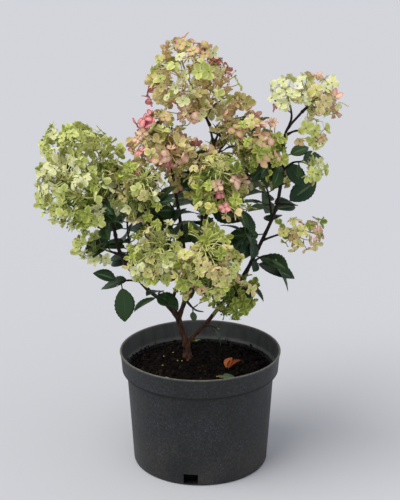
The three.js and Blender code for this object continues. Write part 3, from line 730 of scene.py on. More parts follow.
# %% Shader sums
class Value:
    """A shader socket in a sum. Each operator adds a Math node to the same tree."""

    def __init__(self, finish, socket):
        self.finish, self.socket = finish, socket

    def maths(self, operation, first, second):
        """A Math node's result."""
        return self.finish.node("Math", {"operation": operation}, {0: first, 1: second})

    def __add__(self, other):
        return self.maths("ADD", self, other)

    def __sub__(self, other):
        return self.maths("SUBTRACT", self, other)

    def __rsub__(self, other):
        return self.maths("SUBTRACT", other, self)

    def __mul__(self, other):
        return self.maths("MULTIPLY", self, other)

    def __gt__(self, other):
        return self.maths("GREATER_THAN", self, other)

    __radd__ = __add__
    __rmul__ = __mul__

# %% [markdown]
# A finish starts from Blender's own principled surface. Each method adds a node or two and hands back what
# they give, so the nodes of a finish are written in the order in which its layers lie.

# %% A finish and its nodes
class Finish:
    """A material while its nodes are being made."""

    def __init__(self, name, **surface):
        self.material = bpy.data.materials.new(name)
        self.material.use_nodes = True
        self.tree = self.material.node_tree
        self.shader = self.tree.nodes["Principled BSDF"]
        for socket, value in surface.items():
            self.feed(self.shader.inputs[socket.replace("_", " ").title().replace("Ior", "IOR")], value)

    def feed(self, socket, value):
        """Sets a socket to a number or colour, or links it to a value."""
        if isinstance(value, Value):
            self.tree.links.new(value.socket, socket)
        else:
            socket.default_value = value

    def node(self, kind, settings=None, inputs=None, output=0, stops=None):
        """Any other node: its type, its settings, what feeds its sockets, and which output to read."""
        made = self.tree.nodes.new("ShaderNode" + kind)
        for setting, value in (settings or {}).items():
            setattr(made, setting, value)
        for socket, value in (inputs or {}).items():
            self.feed(made.inputs[socket], value)
        if stops:
            ramp = made.color_ramp.elements
            while len(ramp) < len(stops):
                ramp.new(1.0)
            for element, (place, shade) in zip(ramp, stops):
                element.position = place
                element.color = shade if len(np.shape(shade)) else (shade, shade, shade, 1)
        return Value(self, made.outputs[output])

    def place(self, stretch=(1, 1, 1)):
        """Object coordinates, stretched along the axes."""
        at = self.node("TexCoord", output="Object")
        return self.node("VectorMath", {"operation": "MULTIPLY"}, {0: at, 1: stretch})

    def noise(self, scale, detail, stretch=(1, 1, 1)):
        """A soft random pattern from 0 to 1. scale is how many of its clouds go in a metre."""
        inputs = {"Vector": self.place(stretch), "Scale": scale, "Detail": detail}
        return self.node("TexNoise", None, inputs)

    def patches(self, scale, detail, low, high, stretch=(1, 1, 1)):
        """Noise made clearer: 0 where it is under its low value, and 1 over its high one."""
        return self.ramp(self.noise(scale, detail, stretch), (low, 0.0), (high, 1.0))

    def ramp(self, value, *stops):
        """A number or colour that follows a value through stops of (place, shade)."""
        return self.node("ValToRGB", None, {0: value}, stops=stops)

    def mix(self, share, first, second):
        """Two colours mixed: the first at share 0, the second at 1."""
        return self.node("Mix", {"data_type": "RGBA"}, {0: share, 6: first, 7: second}, output=2)

    def surface(self, colour, roughness):
        """Feeds the two sockets that every finish here varies."""
        self.feed(self.shader.inputs["Base Color"], colour)
        self.feed(self.shader.inputs["Roughness"], roughness)

    def bump(self, height, distance, strength):
        """Shades the surface as if it rose by height times distance, in metres."""
        inputs = {"Height": height, "Distance": distance, "Strength": strength}
        self.feed(self.shader.inputs["Normal"], self.node("Bump", None, inputs))

# %% [markdown]
# A nursery pot is moulded from soot-black plastic, but it never looks black outdoors. Hard water and scuffs
# leave a grey veil that runs down in streaks, with fine dust over it, specks of dirt and pale splashes. The
# lip is worn pale by hands and other pots, mud stains the foot, and under the collar a painted shadow
# darkens the wall. A painted picture could show all this from one side. Patterns do it all round, and
# heights in the real pot say where each of them belongs.

# %% Pot plastic
POT_HEIGHT = 190
CREASE_SHADOW_IN = (151.5, 155)  # heights, and so are the next four
CREASE_SHADOW_OUT = (156, 158)
LIP_WEAR = (POT_HEIGHT - 1.9, POT_HEIGHT - 0.9)
INSIDE_FOOT = 158.5
MUD_TOP = 90
CREASE_SHADOW_RADIUS = 117.5  # outside this the wall is its outer side
INSIDE_RADIUS, INSIDE_SLOPE = 112.7, 0.08  # the radius within which it is the inner side, and its taper


def fade(finish, height, between, first=0.0, last=1.0):
    """A number that changes from first to last between two heights."""
    low, high = between
    return finish.ramp(height, (low * MM, first), (high * MM, last))


def pot_finish():
    """The pot's plastic: black, then the veil, mud, dust, dirt and specks, the painted shadow under the
    collar, the inside and the lip, each mixed over the last by its own mask."""
    finish = Finish("pot_plastic", specular_ior_level=0.46)
    height = finish.node("SeparateXYZ", None, {0: finish.place()}, output="Z")
    radius = finish.node("VectorMath", {"operation": "LENGTH"}, {0: finish.place((1, 1, 0))}, output="Value")
    streaks = finish.patches(340, 4, 0.4, 0.72, (1, 1, 0.06))
    clouds = finish.patches(16, 5, 0.35, 0.68)
    specks = finish.patches(620, 1, 0.69, 0.73)
    grit = finish.noise(2600, 2)
    veil = finish.mix(clouds * 0.3 + streaks * 0.3, tint(7, 8, 9), tint(44, 47, 51))
    mud = clouds * 0.75 * (1 - fade(finish, height, (0, MUD_TOP)))
    stained = finish.mix(mud, veil, tint(54, 48, 40))
    dust = finish.patches(250, 5, 0.44, 0.68)
    dusty = finish.mix(dust * (clouds * 0.28 + 0.22), stained, tint(60, 64, 69))
    dirt = finish.patches(190, 2, 0.66, 0.7) * clouds
    dirty = finish.mix(dirt * 0.5, dusty, tint(78, 58, 44))
    speckled = finish.mix(specks * (clouds * 0.5 + 0.15), dirty, tint(118, 118, 116))
    # Painted shadow: the wall just under the collar and the collar's underside are mixed to near black.
    crease_shadow = fade(finish, height, CREASE_SHADOW_IN) * fade(finish, height, CREASE_SHADOW_OUT, 1.0, 0.0)
    crease_shadow = crease_shadow * (radius > CREASE_SHADOW_RADIUS * MM)
    crease_shadowed = finish.mix(crease_shadow, speckled, tint(3, 3, 3))
    smears = finish.patches(70, 5, 0.45, 0.8, (1, 1, 0.35))
    inside = (height * INSIDE_SLOPE + INSIDE_RADIUS * MM > radius) * (height > INSIDE_FOOT * MM)
    paler_inside = finish.mix(inside * 0.84, crease_shadowed, tint(100, 101, 100))
    smeared = finish.mix(smears * inside * 0.5, paler_inside, tint(24, 19, 16))
    lip = fade(finish, height, LIP_WEAR)
    worn = finish.ramp(finish.noise(240, 3), (0.3, 0.5), (0.6, 0.95))
    roughness = crease_shadow * 0.45 + finish.ramp(clouds + streaks * 0.4, (0.0, 0.42), (1.0, 0.62))
    finish.surface(finish.mix(lip * worn, smeared, tint(142, 139, 126)), roughness)
    finish.bump(grit * 0.4 + streaks * 0.3 + specks * 0.5, 0.00025, 0.6)
    return finish.material


pot_plastic = pot_finish()
print("The pot's plastic has", len(pot_plastic.node_tree.nodes), "nodes")

# %% [markdown]
# Fresh potting compost is bark and peat, wet enough to look almost black. What gives it away is its grain:
# fine dark crumbs with a few lighter fibres, and here and there a wet glint. One brown would look like mud,
# so three finishes of the same kind are made, and the loose crumbs share them out.

# %% Compost
def compost_finish(name, dark, light):
    """Compost of two tints that follow its grain, with a few pale fibres."""
    finish = Finish(name, specular_ior_level=0.12)
    grain = finish.noise(420, 5)
    fibre = finish.patches(1300, 2, 0.62, 0.72, (1, 0.25, 1))
    soil = finish.mix(finish.ramp(grain, (0.35, 0.0), (0.7, 1.0)), dark, light)
    roughness = finish.ramp(grain, (0.3, 0.65), (0.6, 0.95))
    finish.surface(finish.mix(fibre * 0.4, soil, tint(58, 42, 32)), roughness)
    finish.bump(grain, 0.0012, 0.8)
    return finish.material


compost = [
    compost_finish("compost", tint(9, 7, 6), tint(30, 22, 18)),
    compost_finish("compost_chips", tint(14, 11, 9), tint(38, 30, 25)),
    compost_finish("compost_fibres", tint(24, 19, 16), tint(62, 50, 41)),
]
print(len(compost), "finishes of compost")

# %% [markdown]
# The foot of the trunk is old wood with thin, peeling, red-brown bark. Higher up the boughs are two and
# three years old: smooth, nearly black, and dotted with small pale pores. Two finishes would leave a hard
# line where they meet, so one does both, by height.

# %% Bark
OLD_BARK_TOP = (0.18, 0.31)  # the heights in metres between which old bark turns into young


def bark_finish():
    """Old bark with fibres below, young bark above, and pale pores on both."""
    finish = Finish("bark", specular_ior_level=0.35)
    height = finish.node("SeparateXYZ", None, {0: finish.place()}, output="Z")
    low, high = OLD_BARK_TOP
    fibres = finish.patches(520, 4, 0.35, 0.68, (1, 1, 0.12))
    clouds = finish.noise(90, 3)
    old = finish.mix(fibres, tint(34, 21, 16), tint(118, 78, 56))
    young = finish.mix(fibres * 0.6 + clouds * 0.3, tint(25, 18, 17), tint(58, 43, 38))
    share = finish.node("MapRange", None, {0: height, 1: low, 2: high, 3: 0.0, 4: 1.0})
    pores = finish.patches(1500, 1, 0.68, 0.74, (1, 1, 0.5))
    wood = finish.mix(share, old, young)
    roughness = finish.ramp(fibres, (0.0, 0.55), (1.0, 0.82))
    finish.surface(finish.mix(pores * 0.3, wood, tint(120, 98, 82)), roughness)
    finish.bump(fibres + pores * 0.5, 0.0006, 0.9)
    return finish.material


bark = bark_finish()
print("Old bark ends between", OLD_BARK_TOP[0], "and", OLD_BARK_TOP[1], "m")

# %% [markdown]
# Leaves, stalks and sepals are thousands of small faces, on which a pattern would fall anywhere. So their
# colours are plain. Each sepal has one tint for its middle and one for its edge, and most florets take the
# pair of their spray, because a real cone ripens spray by spray.

# %% Tints of the sepals
def plain_finish(name, colour, roughness=0.6, specular=0.3, sheen=0.0):
    """One colour all over. sheen is the soft light at the edge of a velvety skin."""
    finish = Finish(name, base_color=tint(*colour), roughness=roughness, specular_ior_level=specular)
    finish.shader.inputs["Sheen Weight"].default_value = sheen
    finish.shader.inputs["Sheen Roughness"].default_value = 0.4
    return finish.material


SEPAL_TINTS = {
    "dark_green": (70, 86, 34), "deep_green": (114, 128, 50), "green": (158, 170, 76),
    "lime": (198, 206, 106), "pale_lime": (220, 224, 150), "cream": (234, 232, 192),
    "ivory": (244, 240, 218), "olive": (186, 174, 86), "straw": (212, 206, 122),
    "blush": (236, 208, 168), "pink": (228, 166, 156), "rose": (214, 112, 126),
    "deep_rose": (192, 64, 92), "tan": (172, 122, 88), "brown": (108, 70, 50),
}
# Each pair of tints is a sepal's middle and its edge.
PAIRS = {
    "fresh": ("green", "lime"), "lime": ("lime", "pale_lime"), "pale": ("pale_lime", "cream"),
    "ivory": ("cream", "ivory"), "shaded": ("deep_green", "green"), "olive": ("olive", "straw"),
    "edged": ("lime", "blush"), "blush": ("straw", "blush"), "tipped": ("straw", "pink"),
    "pink": ("blush", "pink"), "rose": ("pink", "rose"), "deep": ("rose", "deep_rose"),
    "faded": ("tan", "brown"),
}
tint_names = list(SEPAL_TINTS)
sepal_finishes = []
for name, colour in SEPAL_TINTS.items():
    sepal_finishes.append(plain_finish("sepal_" + name, colour, 0.62, 0.25, 0.15))
print(len(SEPAL_TINTS), "tints in", len(PAIRS), "pairs")

# %% [markdown]
# A leaf is darker above than below, with a paler midrib. Its finishes are dealt out by side: the first three
# are for upper sides, the last two for every leaf's underside and rib. The stalks are lime, straw or green.

# %% Plain finishes for leaves, stalks and buds
leaf_finishes = [
    plain_finish("leaf_dark", (42, 68, 34), 0.5, 0.35),
    plain_finish("leaf_green", (56, 84, 40), 0.52, 0.35),
    plain_finish("leaf_blue_green", (42, 68, 46), 0.48, 0.35),
    plain_finish("leaf_under", (96, 116, 84), 0.7, 0.3),
    plain_finish("leaf_rib", (58, 82, 48), 0.5),
]
UPPER_LEAVES, UNDER_LEAF, RIB = 3, 3, 4
stalk_finishes = [
    plain_finish("stalk_lime", (216, 218, 140), 0.55),
    plain_finish("stalk_straw", (224, 200, 138), 0.55),
    plain_finish("stalk_green", (140, 146, 72), 0.55),
]
GREEN_STALK = 2
bead_finishes = [plain_finish("bead_green", (126, 138, 70)), plain_finish("bead_brown", (112, 78, 50))]
print(len(bpy.data.materials), "finishes so far")

# %% [markdown]
# ## From arrays to meshes
# Every new piece is worked out as whole arrays: a grid of points over two parameters, or one small shape
# repeated at many places. Two helpers number the faces. A pile gathers many shapes, makes one piece of
# them, deals out its finishes and lets it ride on the plant. One object for each leaf would be easier to
# write, but thousands of objects are slow to draw and to hand on.

# %% Faces of grids and copies
def grid_faces(rows, columns, closed=True):
    """Four-cornered faces of a grid of points. closed joins the last column to the first."""
    i = np.arange(rows - 1)[:, None] * columns
    j = np.arange(columns if closed else columns - 1)
    side = (j + 1) % columns
    return np.stack([i + j, i + side, i + columns + side, i + columns + j], axis=-1).reshape(-1, 4)


def copies(faces, count, points_each):
    """The faces of one shape, repeated for many that each have their own points."""
    return (faces + np.arange(count)[:, None, None] * points_each).reshape(-1, faces.shape[1])


class Pile:
    """Points, faces and finishes of many shapes that become one piece."""

    def __init__(self):
        self.points, self.faces, self.dealt, self.count = [], [], [], 0

    def add(self, points, faces, finish):
        """points is any array of 3-vectors, faces a list of arrays, and finish a number for all of their
        faces, or one list of numbers for each array."""
        points = np.reshape(points, (-1, 3))
        for k, some in enumerate(faces):
            self.faces.append(some + self.count)
            share = finish if np.isscalar(finish) else finish[k]
            self.dealt.append(np.broadcast_to(share, len(some)))
        self.points.append(points)
        self.count += len(points)

    def piece(self, name, finishes, slot, replaced):
        """The piece: a mesh in place, with its object at the origin. It rides on the plant's one body."""
        sizes = np.concatenate([np.full(len(some), some.shape[1]) for some in self.faces])
        corners = np.concatenate([some.ravel() for some in self.faces])
        mesh = bpy.data.meshes.new(name)
        mesh.vertices.add(self.count)
        mesh.vertices.foreach_set("co", (np.concatenate(self.points) * MM).ravel())
        mesh.loops.add(len(corners))
        mesh.loops.foreach_set("vertex_index", corners.astype(np.int32))
        mesh.polygons.add(len(sizes))
        mesh.polygons.foreach_set("loop_start", (np.cumsum(sizes) - sizes).astype(np.int32))
        for finish in finishes:
            mesh.materials.append(finish)
        mesh.polygons.foreach_set("material_index", np.concatenate(self.dealt).astype(np.int32))
        mesh.polygons.foreach_set("use_smooth", np.ones(len(sizes), bool))
        mesh.update(calc_edges=True)
        mesh.validate()
        piece = bpy.data.objects.new(name, mesh)
        bpy.context.scene.collection.objects.link(piece)
        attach(piece, "root")
        if replaced:
            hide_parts(*replaced)
        print(f"{name}: {(sizes - 2).sum()} triangles, replaces {len(replaced)} solids")
        return piece

# %% [markdown]
# Stems and stalks are tubes. A curve with a round bevel makes one too, but it would have the same thickness
# all round. Here each ring is placed by its own formula, and thousands of stalks are worked out at once.

# %% Tubes
def tubes(paths, radii, sides):
    """Tubes round many paths at once: a ring's points are the path's point plus radius (side cos + other
    sin), with side and other square to the path. paths is (tubes, rings, 3), and radii gives each ring, or
    each point of it."""
    along = unit(np.gradient(paths, axis=1))
    least = np.eye(3)[np.abs(paths[:, -1] - paths[:, 0]).argmin(1)][:, None]
    side = unit(least - along * (along * least).sum(-1, keepdims=True))
    other = np.cross(along, side)
    turn = 2 * np.pi * np.arange(sides) / sides
    round_ring = side[:, :, None] * np.cos(turn)[:, None] + other[:, :, None] * np.sin(turn)[:, None]
    radii = radii[..., None] if radii.ndim == 2 else radii
    return paths[:, :, None] + round_ring * radii[..., None]


def tube_faces(count, rings, sides):
    """The wall and the two caps of each tube."""
    cap = np.arange(sides)[None]
    caps = np.concatenate([cap[:, ::-1], cap + (rings - 1) * sides])
    return [copies(grid_faces(rings, sides), count, rings * sides), copies(caps, count, rings * sides)]


def arcs(start, bend, end, rings):
    """Curved paths from start to end, drawn towards bend: (1 - s)^2 start + 2 s (1 - s) bend + s^2 end."""
    s = np.linspace(0, 1, rings)[:, None]
    start, bend, end = (np.asarray(p, float)[:, None] for p in (start, bend, end))
    return (1 - s) ** 2 * start + 2 * s * (1 - s) * bend + s**2 * end

# %% [markdown]
# ## Trunk and boughs
# The wood could be a curve with a round bevel, but real shrub wood is never a clean pipe. It has lengthwise
# ridges that twist slowly, a swelling at each joint where a pair of leaves once sat, with a bud scar on
# either side, and a collar where it leaves its parent. So each limb is a tube whose radius changes from
# point to point.

# %% Limb surfaces
RING_STEP = 1.6
JOINT_SPACING = 27.0
TRUNK_SIDES, BOUGH_SIDES, STEM_SIDES = 28, 16, 8
# All but the flare are shares of the limb's radius.
TRUNK_RIDGES, BOUGH_RIDGES, FINE_RIDGES = 0.11, 0.045, 0.02
SWELLING, SCAR, COLLAR = 0.13, 0.3, 0.4
ROOT_FLARE, FLARE_FADE = 4.0, 8.0


def limb_radii(name, at, sides, seed):
    """The radius over distance and turn: the plain taper times 1 + ridges + joints + bud scars, plus a
    collar."""
    draw = np.random.default_rng(seed)
    turn = 2 * np.pi * np.arange(sides) / sides
    at = at[:, None]
    phase = draw.uniform(0, 2 * np.pi, 6)
    deep = TRUNK_RIDGES if name == "trunk" else BOUGH_RIDGES
    ridges = deep * np.sin(3 * turn + at / 23 + phase[0]) * np.sin(at / 17 + phase[1])
    ridges = ridges + deep * 0.6 * np.sin(7 * turn - at / 31 + phase[2])
    ridges = ridges + FINE_RIDGES * np.sin(at / 1.9 + phase[3]) * np.sin(2 * turn + phase[4])
    joint = np.round(at / JOINT_SPACING)
    from_joint = (at - joint * JOINT_SPACING) * (joint > 0)
    swelling = SWELLING * np.exp(-((from_joint / 2.4) ** 2))
    scar_turn = turn - joint * np.pi / 2 - phase[5]
    scars = SCAR * np.exp(-(((from_joint - 2) / 1.8) ** 2)) * np.maximum(0, np.cos(2 * scar_turn)) ** 6
    collar = COLLAR * np.exp(-at / 7)
    flare = ROOT_FLARE * np.exp(-at / FLARE_FADE) * (1 + 0.4 * np.cos(3 * turn + 1)) if name == "trunk" else 0
    return radius_of(name, at) * (1 + ridges + swelling + scars + collar) + flare


wood_pile = Pile()
for seed, name in enumerate(LIMBS):
    line = lines[name]
    rings = int(line.length / RING_STEP)
    at = np.linspace(0, line.length, rings)
    sides = TRUNK_SIDES if name == "trunk" else BOUGH_SIDES
    surface = tubes(line.at(at)[None], limb_radii(name, at, sides, seed)[None], sides)
    wood_pile.add(surface, tube_faces(1, rings, sides), 0)
wood_pile.piece("trunk_and_boughs", [bark], "bark", list(LIMBS))

# %% [markdown]
# ## Shoots
# A shoot's stem is this year's wood: dark and slim below, and green where it becomes the middle of the
# flower cone. It is the same tube as a limb with fewer sides, and its faces above a height along it take
# the green finish.

# %% Stems of the shoots
STEM_SHORT = 4  # a stem ends this far below its last flower
GREEN_BELOW_CONE = 10  # how far below the cone it turns green

stem_pile = Pile()
for seed, (name, spec) in enumerate(SHOOTS.items(), len(LIMBS)):
    line = lines[name]
    rings = int(line.length / RING_STEP / 2)
    at = np.linspace(0, line.length - STEM_SHORT, rings)
    surface = tubes(line.at(at)[None], limb_radii(name, at, STEM_SIDES, seed)[None], STEM_SIDES)
    green = np.repeat(at[:-1] > cone_foot_of(name, spec) - GREEN_BELOW_CONE, STEM_SIDES).astype(int)
    stem_pile.add(surface, tube_faces(1, rings, STEM_SIDES), [green, 1])
stem_pile.piece("shoot_stems", [bark, stalk_finishes[GREEN_STALK]], "bark", [])

# %% [markdown]
# ## Leaves
# A leaf is an oval drawn out to a point, with saw teeth, a pale midrib, and side veins that pleat the blade
# between them and curve forward. A flat card with a picture is the usual way, but it has no thickness and
# no sheen of its own. Here the rows of the mesh follow the veins, so every second row makes a vein's valley
# and a tooth's tip, and the blade is a thin closed lens with a paler underside.

# %% Leaf blades
LEAF_ROWS = 19
# Places across the blade, as shares of half its width: over the upper side and back under it.
UPPER_COLUMNS = np.array([1.0, 0.72, 0.36, 0.03, -0.03, -0.36, -0.72, -1.0])
UNDER_COLUMNS = np.array([-0.7, -0.3, 0.3, 0.7])
MIDRIB_COLUMN = 3  # the narrow one in the middle
LEAF_SHEET = 0.5  # how thick the blade is
PLEAT = 0.34  # how deep a vein's valley is
TOOTH = 0.035  # a tooth's length, as a share of half the width
VEIN_SLANT = 0.13
SWAY, ROLL = 0.10, 0.22  # how much chance bends a blade sideways, and rolls it


def leaf_outline(t):
    """Half of a leaf's width along it: sin(pi t^0.8)^0.85, which is widest before its middle and ends in a
    point."""
    return np.maximum(0.015, np.sin(np.pi * t**0.8)) ** 0.85


def leaf_blades(feet, facings, along, lengths, droop, fold, width, draw):
    """Closed blades as (leaves, rows, ring, 3). A blade sinks by droop t^2, its sides rise by fold, its tip
    turns aside, and its rows slant forward with the veins."""
    t = np.linspace(0, 1, LEAF_ROWS)[:, None]
    c = np.concatenate([UPPER_COLUMNS, UNDER_COLUMNS])
    upper = np.concatenate([UPPER_COLUMNS * 0 + 1, UNDER_COLUMNS * 0 - 1])
    odd = (np.arange(LEAF_ROWS) % 2)[:, None]
    at_edge = np.abs(c) > 0.9
    one = (len(feet), 1, 1)
    lengths, droop, fold = (np.broadcast_to(np.reshape(v, (-1, 1, 1)), one) for v in (lengths, droop, fold))
    half = lengths * width / 2 * leaf_outline(t) * (1 + TOOTH * (2 * odd - 1) * at_edge)
    sway, roll = draw.normal(0, SWAY, one), draw.normal(0, ROLL, one)
    x = lengths * (t + VEIN_SLANT * np.abs(c) * t * (1 - t) * 2)
    y = half * c
    z = fold * np.abs(y) - droop * lengths * t**2 + roll * y * t
    z = z + PLEAT * (odd - 0.5) * np.minimum(1, np.abs(c) * 1.3) + LEAF_SHEET / 2 * upper * (1 - c**2)
    flat = np.stack([x + 0 * z, y + sway * lengths * t**2, z], axis=-1)
    return feet[:, None, None] + flat @ axes(facings, along)[:, None]


# %% [markdown]
# A leaf is a blade and its own stalk. Round each row of the blade runs one ring of points, so a blade is
# numbered like a tube, and the place in the ring tells the upper side, the midrib and the underside apart.

# %% Leaves with their stalks
LEAF_RING = len(UPPER_COLUMNS) + len(UNDER_COLUMNS)
LEAF_STALK_RINGS, LEAF_STALK_SIDES, LEAF_STALK_RADIUS = 5, 6, 1.0
is_under = np.tile(np.arange(LEAF_RING) >= len(UPPER_COLUMNS) - 1, LEAF_ROWS - 1)
is_midrib = np.tile(np.arange(LEAF_RING) == MIDRIB_COLUMN, LEAF_ROWS - 1)


def add_leaves(pile, feet, facings, along, lengths, finishes, draw, droop=LEAF_DROOP, fold=LEAF_FOLD,
               width=0.5, stalk=PETIOLE):
    """Leaves with their stalks. finishes gives each blade's upper side."""
    facings, along = unit(facings), unit(along)
    blades = leaf_blades(feet, facings, along, lengths, droop, fold, width, draw)
    wall, caps = tube_faces(len(feet), LEAF_ROWS, LEAF_RING)
    plain = np.where(is_under, UNDER_LEAF, finishes[:, None])
    pile.add(blades, [wall, caps], [np.where(is_midrib, RIB, plain).ravel(), UNDER_LEAF])
    inner = feet - along * stalk
    paths = arcs(inner, (inner + feet) / 2 - facings, feet + along * 2, LEAF_STALK_RINGS)
    radii = np.full((1, LEAF_STALK_RINGS), LEAF_STALK_RADIUS)
    stalk_faces = tube_faces(len(feet), LEAF_STALK_RINGS, LEAF_STALK_SIDES)
    pile.add(tubes(paths, radii, LEAF_STALK_SIDES), stalk_faces, RIB)


print("A leaf has", (LEAF_ROWS - 1) * LEAF_RING, "faces round its blade")

# %% [markdown]
# Between the solids' pairs there is room for smaller leaves, tried by the same rule. Open heads have none,
# because the sky shows through them, and nor do the sparse shoots low down.

# %% Smaller leaves between the pairs
SMALLER_LEAF = 0.85
SMALLER_SEED = FIRST_SEED + 60
SMALLER_TURN = 0.9  # from one set of four to the next
INTO_CONE = 6  # how far into the flower cone they go
OPEN_HEADS = ["right_top_bloom", "right_top_left_bloom", "right_middle_bloom", "right_side_bloom",
              "top_right_bloom", "right_low_bloom", "top_bloom"]
SPARSE_SHOOTS = ["left_low_leaves", "fork_leaves", "collar_leaves", "foot_leaves", "right_long_leaves",
                 "right_fork_leaves"]


def more_leaves(mass, name, spec):
    """Smaller leaves between the solids' pairs, where they fit, as the solids' own are tried."""
    draw, line, made = seeded_numbers(SMALLER_SEED + mass), lines[name], []
    at = socket_of(name) + SEAT_GAP + FIRST_LEAF + LEAF_SPACING / 2
    turn = next(draw) * np.pi
    while at < cone_foot_of(name, spec) + INTO_CONE:
        for quarter in range(4):
            for swing, shrink in LEAF_TRIES:
                size = spec["leaf"] * shrink * SMALLER_LEAF
                leaf = leaf_at(line, at, turn + quarter * np.pi / 2 + swing, size, draw)
                if in_own_space(blade_points(*leaf), mass).all():
                    made.append(leaf)
                    break
        turn += SMALLER_TURN
        at += LEAF_SPACING
    return made

# %% [markdown]
# The boughs carry a few old leaves of their own, and these make the dark middle of the shrub. They could be
# scattered, but in the photograph they can be counted, so each is set on its bough one by one.

# %% Old leaves on the boughs
# For each leaf, its share of the bough's length, the way it points, in degrees from the right round by the
# back, how steeply it rises, its length, and how far it turns its face to the side that it is on.
BOUGH_LEAVES = {
    "left_bough": [(0.5, 310, 0, 42, 0.8), (0.92, 60, 0, 46, 0.8)],
    "left_upper_bough": [(0.3, 330, 5, 46, 0.8), (0.55, 190, -15, 42, 0.8), (0.8, 80, 10, 48, 0.8)],
    "centre_bough": [(0.45, 20, 0, 44, 0.8), (0.62, 200, -10, 42, 0.8), (0.82, 340, 0, 48, 1.2),
                     (0.92, 215, 5, 52, 1.2), (0.95, 75, 5, 50, 0.8)],
    "centre_upper_bough": [(0.1, 330, 0, 54, 1.2), (0.22, 200, 0, 56, 1.2), (0.4, 240, 15, 50, 1.2),
                           (0.46, 186, -8, 60, 1.2), (0.72, 320, 30, 44, 1.2), (0.6, 60, 10, 50, 0.8)],
    "top_bough": [(0.55, 330, 0, 44, 0.8), (0.8, 300, -5, 54, 1.2), (0.92, 235, 0, 52, 1.2),
                  (0.9, 90, 5, 52, 0.8)],
    "top_upper_bough": [(0.1, 320, 0, 56, 1.2), (0.3, 340, 15, 50, 0.8), (0.45, 110, 10, 46, 0.8),
                        (0.62, 230, 25, 40, 0.8)],
    "right_middle_bough": [(0.16, 335, -12, 62, 0.1), (0.22, 320, 0, 56, 0.2), (0.45, 200, 0, 48, 0.8),
                           (0.55, 80, 5, 50, 0.8)],
    "right_upper_bough": [(0.28, 325, -45, 44, 1.2), (0.14, 205, 5, 52, 1.2), (0.3, 20, 15, 36, 0.8)],
}
FACE_UP = 0.6
FACE_BACK_FROM = 0.4  # a leaf that points further back than this share faces the back


def bough_leaves():
    """The old leaves, each as its blade's foot, facing, direction and length."""
    made = []
    for name, places in BOUGH_LEAVES.items():
        for share, compass, rise, length, lean in places:
            at = share * lines[name].length
            compass, rise = np.radians(compass), np.radians(rise)
            along = np.array([np.cos(compass) * np.cos(rise), np.sin(compass) * np.cos(rise), np.sin(rise)])
            facing = UP * FACE_UP + [0, np.copysign(lean, np.sin(compass) - FACE_BACK_FROM), 0]
            made.append((lines[name].at(at) + along * (PETIOLE + radius_of(name, at)), facing, along, length))
    return made

# %% [markdown]
# All leaves go into one piece. Those of the shoots turn their faces outward a little, to the light. Four
# points along each midrib are kept, so that the florets can stay clear of the blade.

# %% All leaves in one piece
MIDRIB_SHARES = np.array([0.15, 0.4, 0.65, 0.9])
FACE_OUTWARD, OUTWARD_PER = 0.8, 100  # how much a face turns outward, for this distance from the trunk
UPPER_SHARES = [0.5, 0.25, 0.25]
LEAF_SEED, DROOPS, FOLDS = 77, (0.12, 0.34), (0.05, 0.3)

leaves = [leaf for name in SHOOTS for leaf in grown[name][0]]
solid_leaves = len(leaves)
for mass, (name, spec) in enumerate(SHOOTS.items()):
    if name not in OPEN_HEADS + SPARSE_SHOOTS:
        leaves += more_leaves(mass, name, spec)
shoot_leaves = len(leaves)
leaves += bough_leaves()
feet, facings, along, lengths = (np.array(part) for part in zip(*leaves))
from_middle = (feet - TRUNK_FOOT) * [1, 1, 0]
facings[:shoot_leaves] += FACE_OUTWARD * from_middle[:shoot_leaves] / OUTWARD_PER
facings = facings - along * (along * facings).sum(1, keepdims=True)
draw = np.random.default_rng(LEAF_SEED)
upper_sides = draw.choice(UPPER_LEAVES, len(feet), p=UPPER_SHARES)
droops = draw.uniform(*DROOPS, len(feet))
folds = draw.uniform(*FOLDS, len(feet))
leaf_pile = Pile()
add_leaves(leaf_pile, feet, facings, along, lengths, upper_sides, draw, droop=droops, fold=folds, width=0.6)
print(solid_leaves, "leaves of the solids,", shoot_leaves - solid_leaves, "smaller ones and",
      len(feet) - shoot_leaves, "on the boughs")
leaf_pile.piece("leaves", leaf_finishes, "foliage", list(LEAF_SHOOTS))
leaf_spots = feet[:, None] + along[:, None] * lengths[:, None, None] * MIDRIB_SHARES[:, None]
leaf_spots = leaf_spots.reshape(-1, 3)

# %% [markdown]
# ## Where the florets are
# A cone of panicle hydrangea is built of side sprays, each a stalk that forks into smaller ones, and each
# of those ends in a floret of four sepals. One could instance a floret over a cone, but the cone would look
# clipped. Here the solids' sprays are carried on: each ends in a small dome of florets, one in the middle
# and two rings about it, and a finer golden-angle spiral fills in between the domes.
#
# A ripe head is not whole. Some side sprays hang below it on long stalks, and they are added to the solids'
# own. Where a head has opened in front its stalks show, so no florets are put there.

# %% Hanging sprays and bare patches
HANGING_ROOT = 0.7  # where their stalks leave the shoot, as a share of the cone below the tip
HANGING_SPRAYS = {  # the place of each
    "centre_bloom": [(13, -96, 443), (41, -88, 439), (64, -74, 429)],
    "middle_left_bloom": [(-108, -62, 450), (-88, -66, 442), (-106, -64, 424), (-62, -60, 462)],
    "pink_bloom": [(-42, -34, 490), (-24, -28, 476)],
    "front_left_bloom": [(-84, -66, 414)],
    "front_right_bloom": [(-36, -106, 328), (-33, -112, 350), (-31, -114, 372)],
}
BARE_PATCHES = {  # the middle's X and Z, and the radius
    "left_upper_bloom": [(-152, 508, 15)],
    "middle_left_bloom": [(-80, 500, 19)],
    "pink_bloom": [(-44, 552, 15)],
    "centre_bloom": [(16, 518, 20), (44, 476, 13)],
    "front_left_bloom": [(-60, 404, 18)],
    "front_right_bloom": [(6, 412, 28)],
    "low_right_bloom": [(46, 322, 18)],
    "right_top_bloom": [(152, 612, 11)],
}

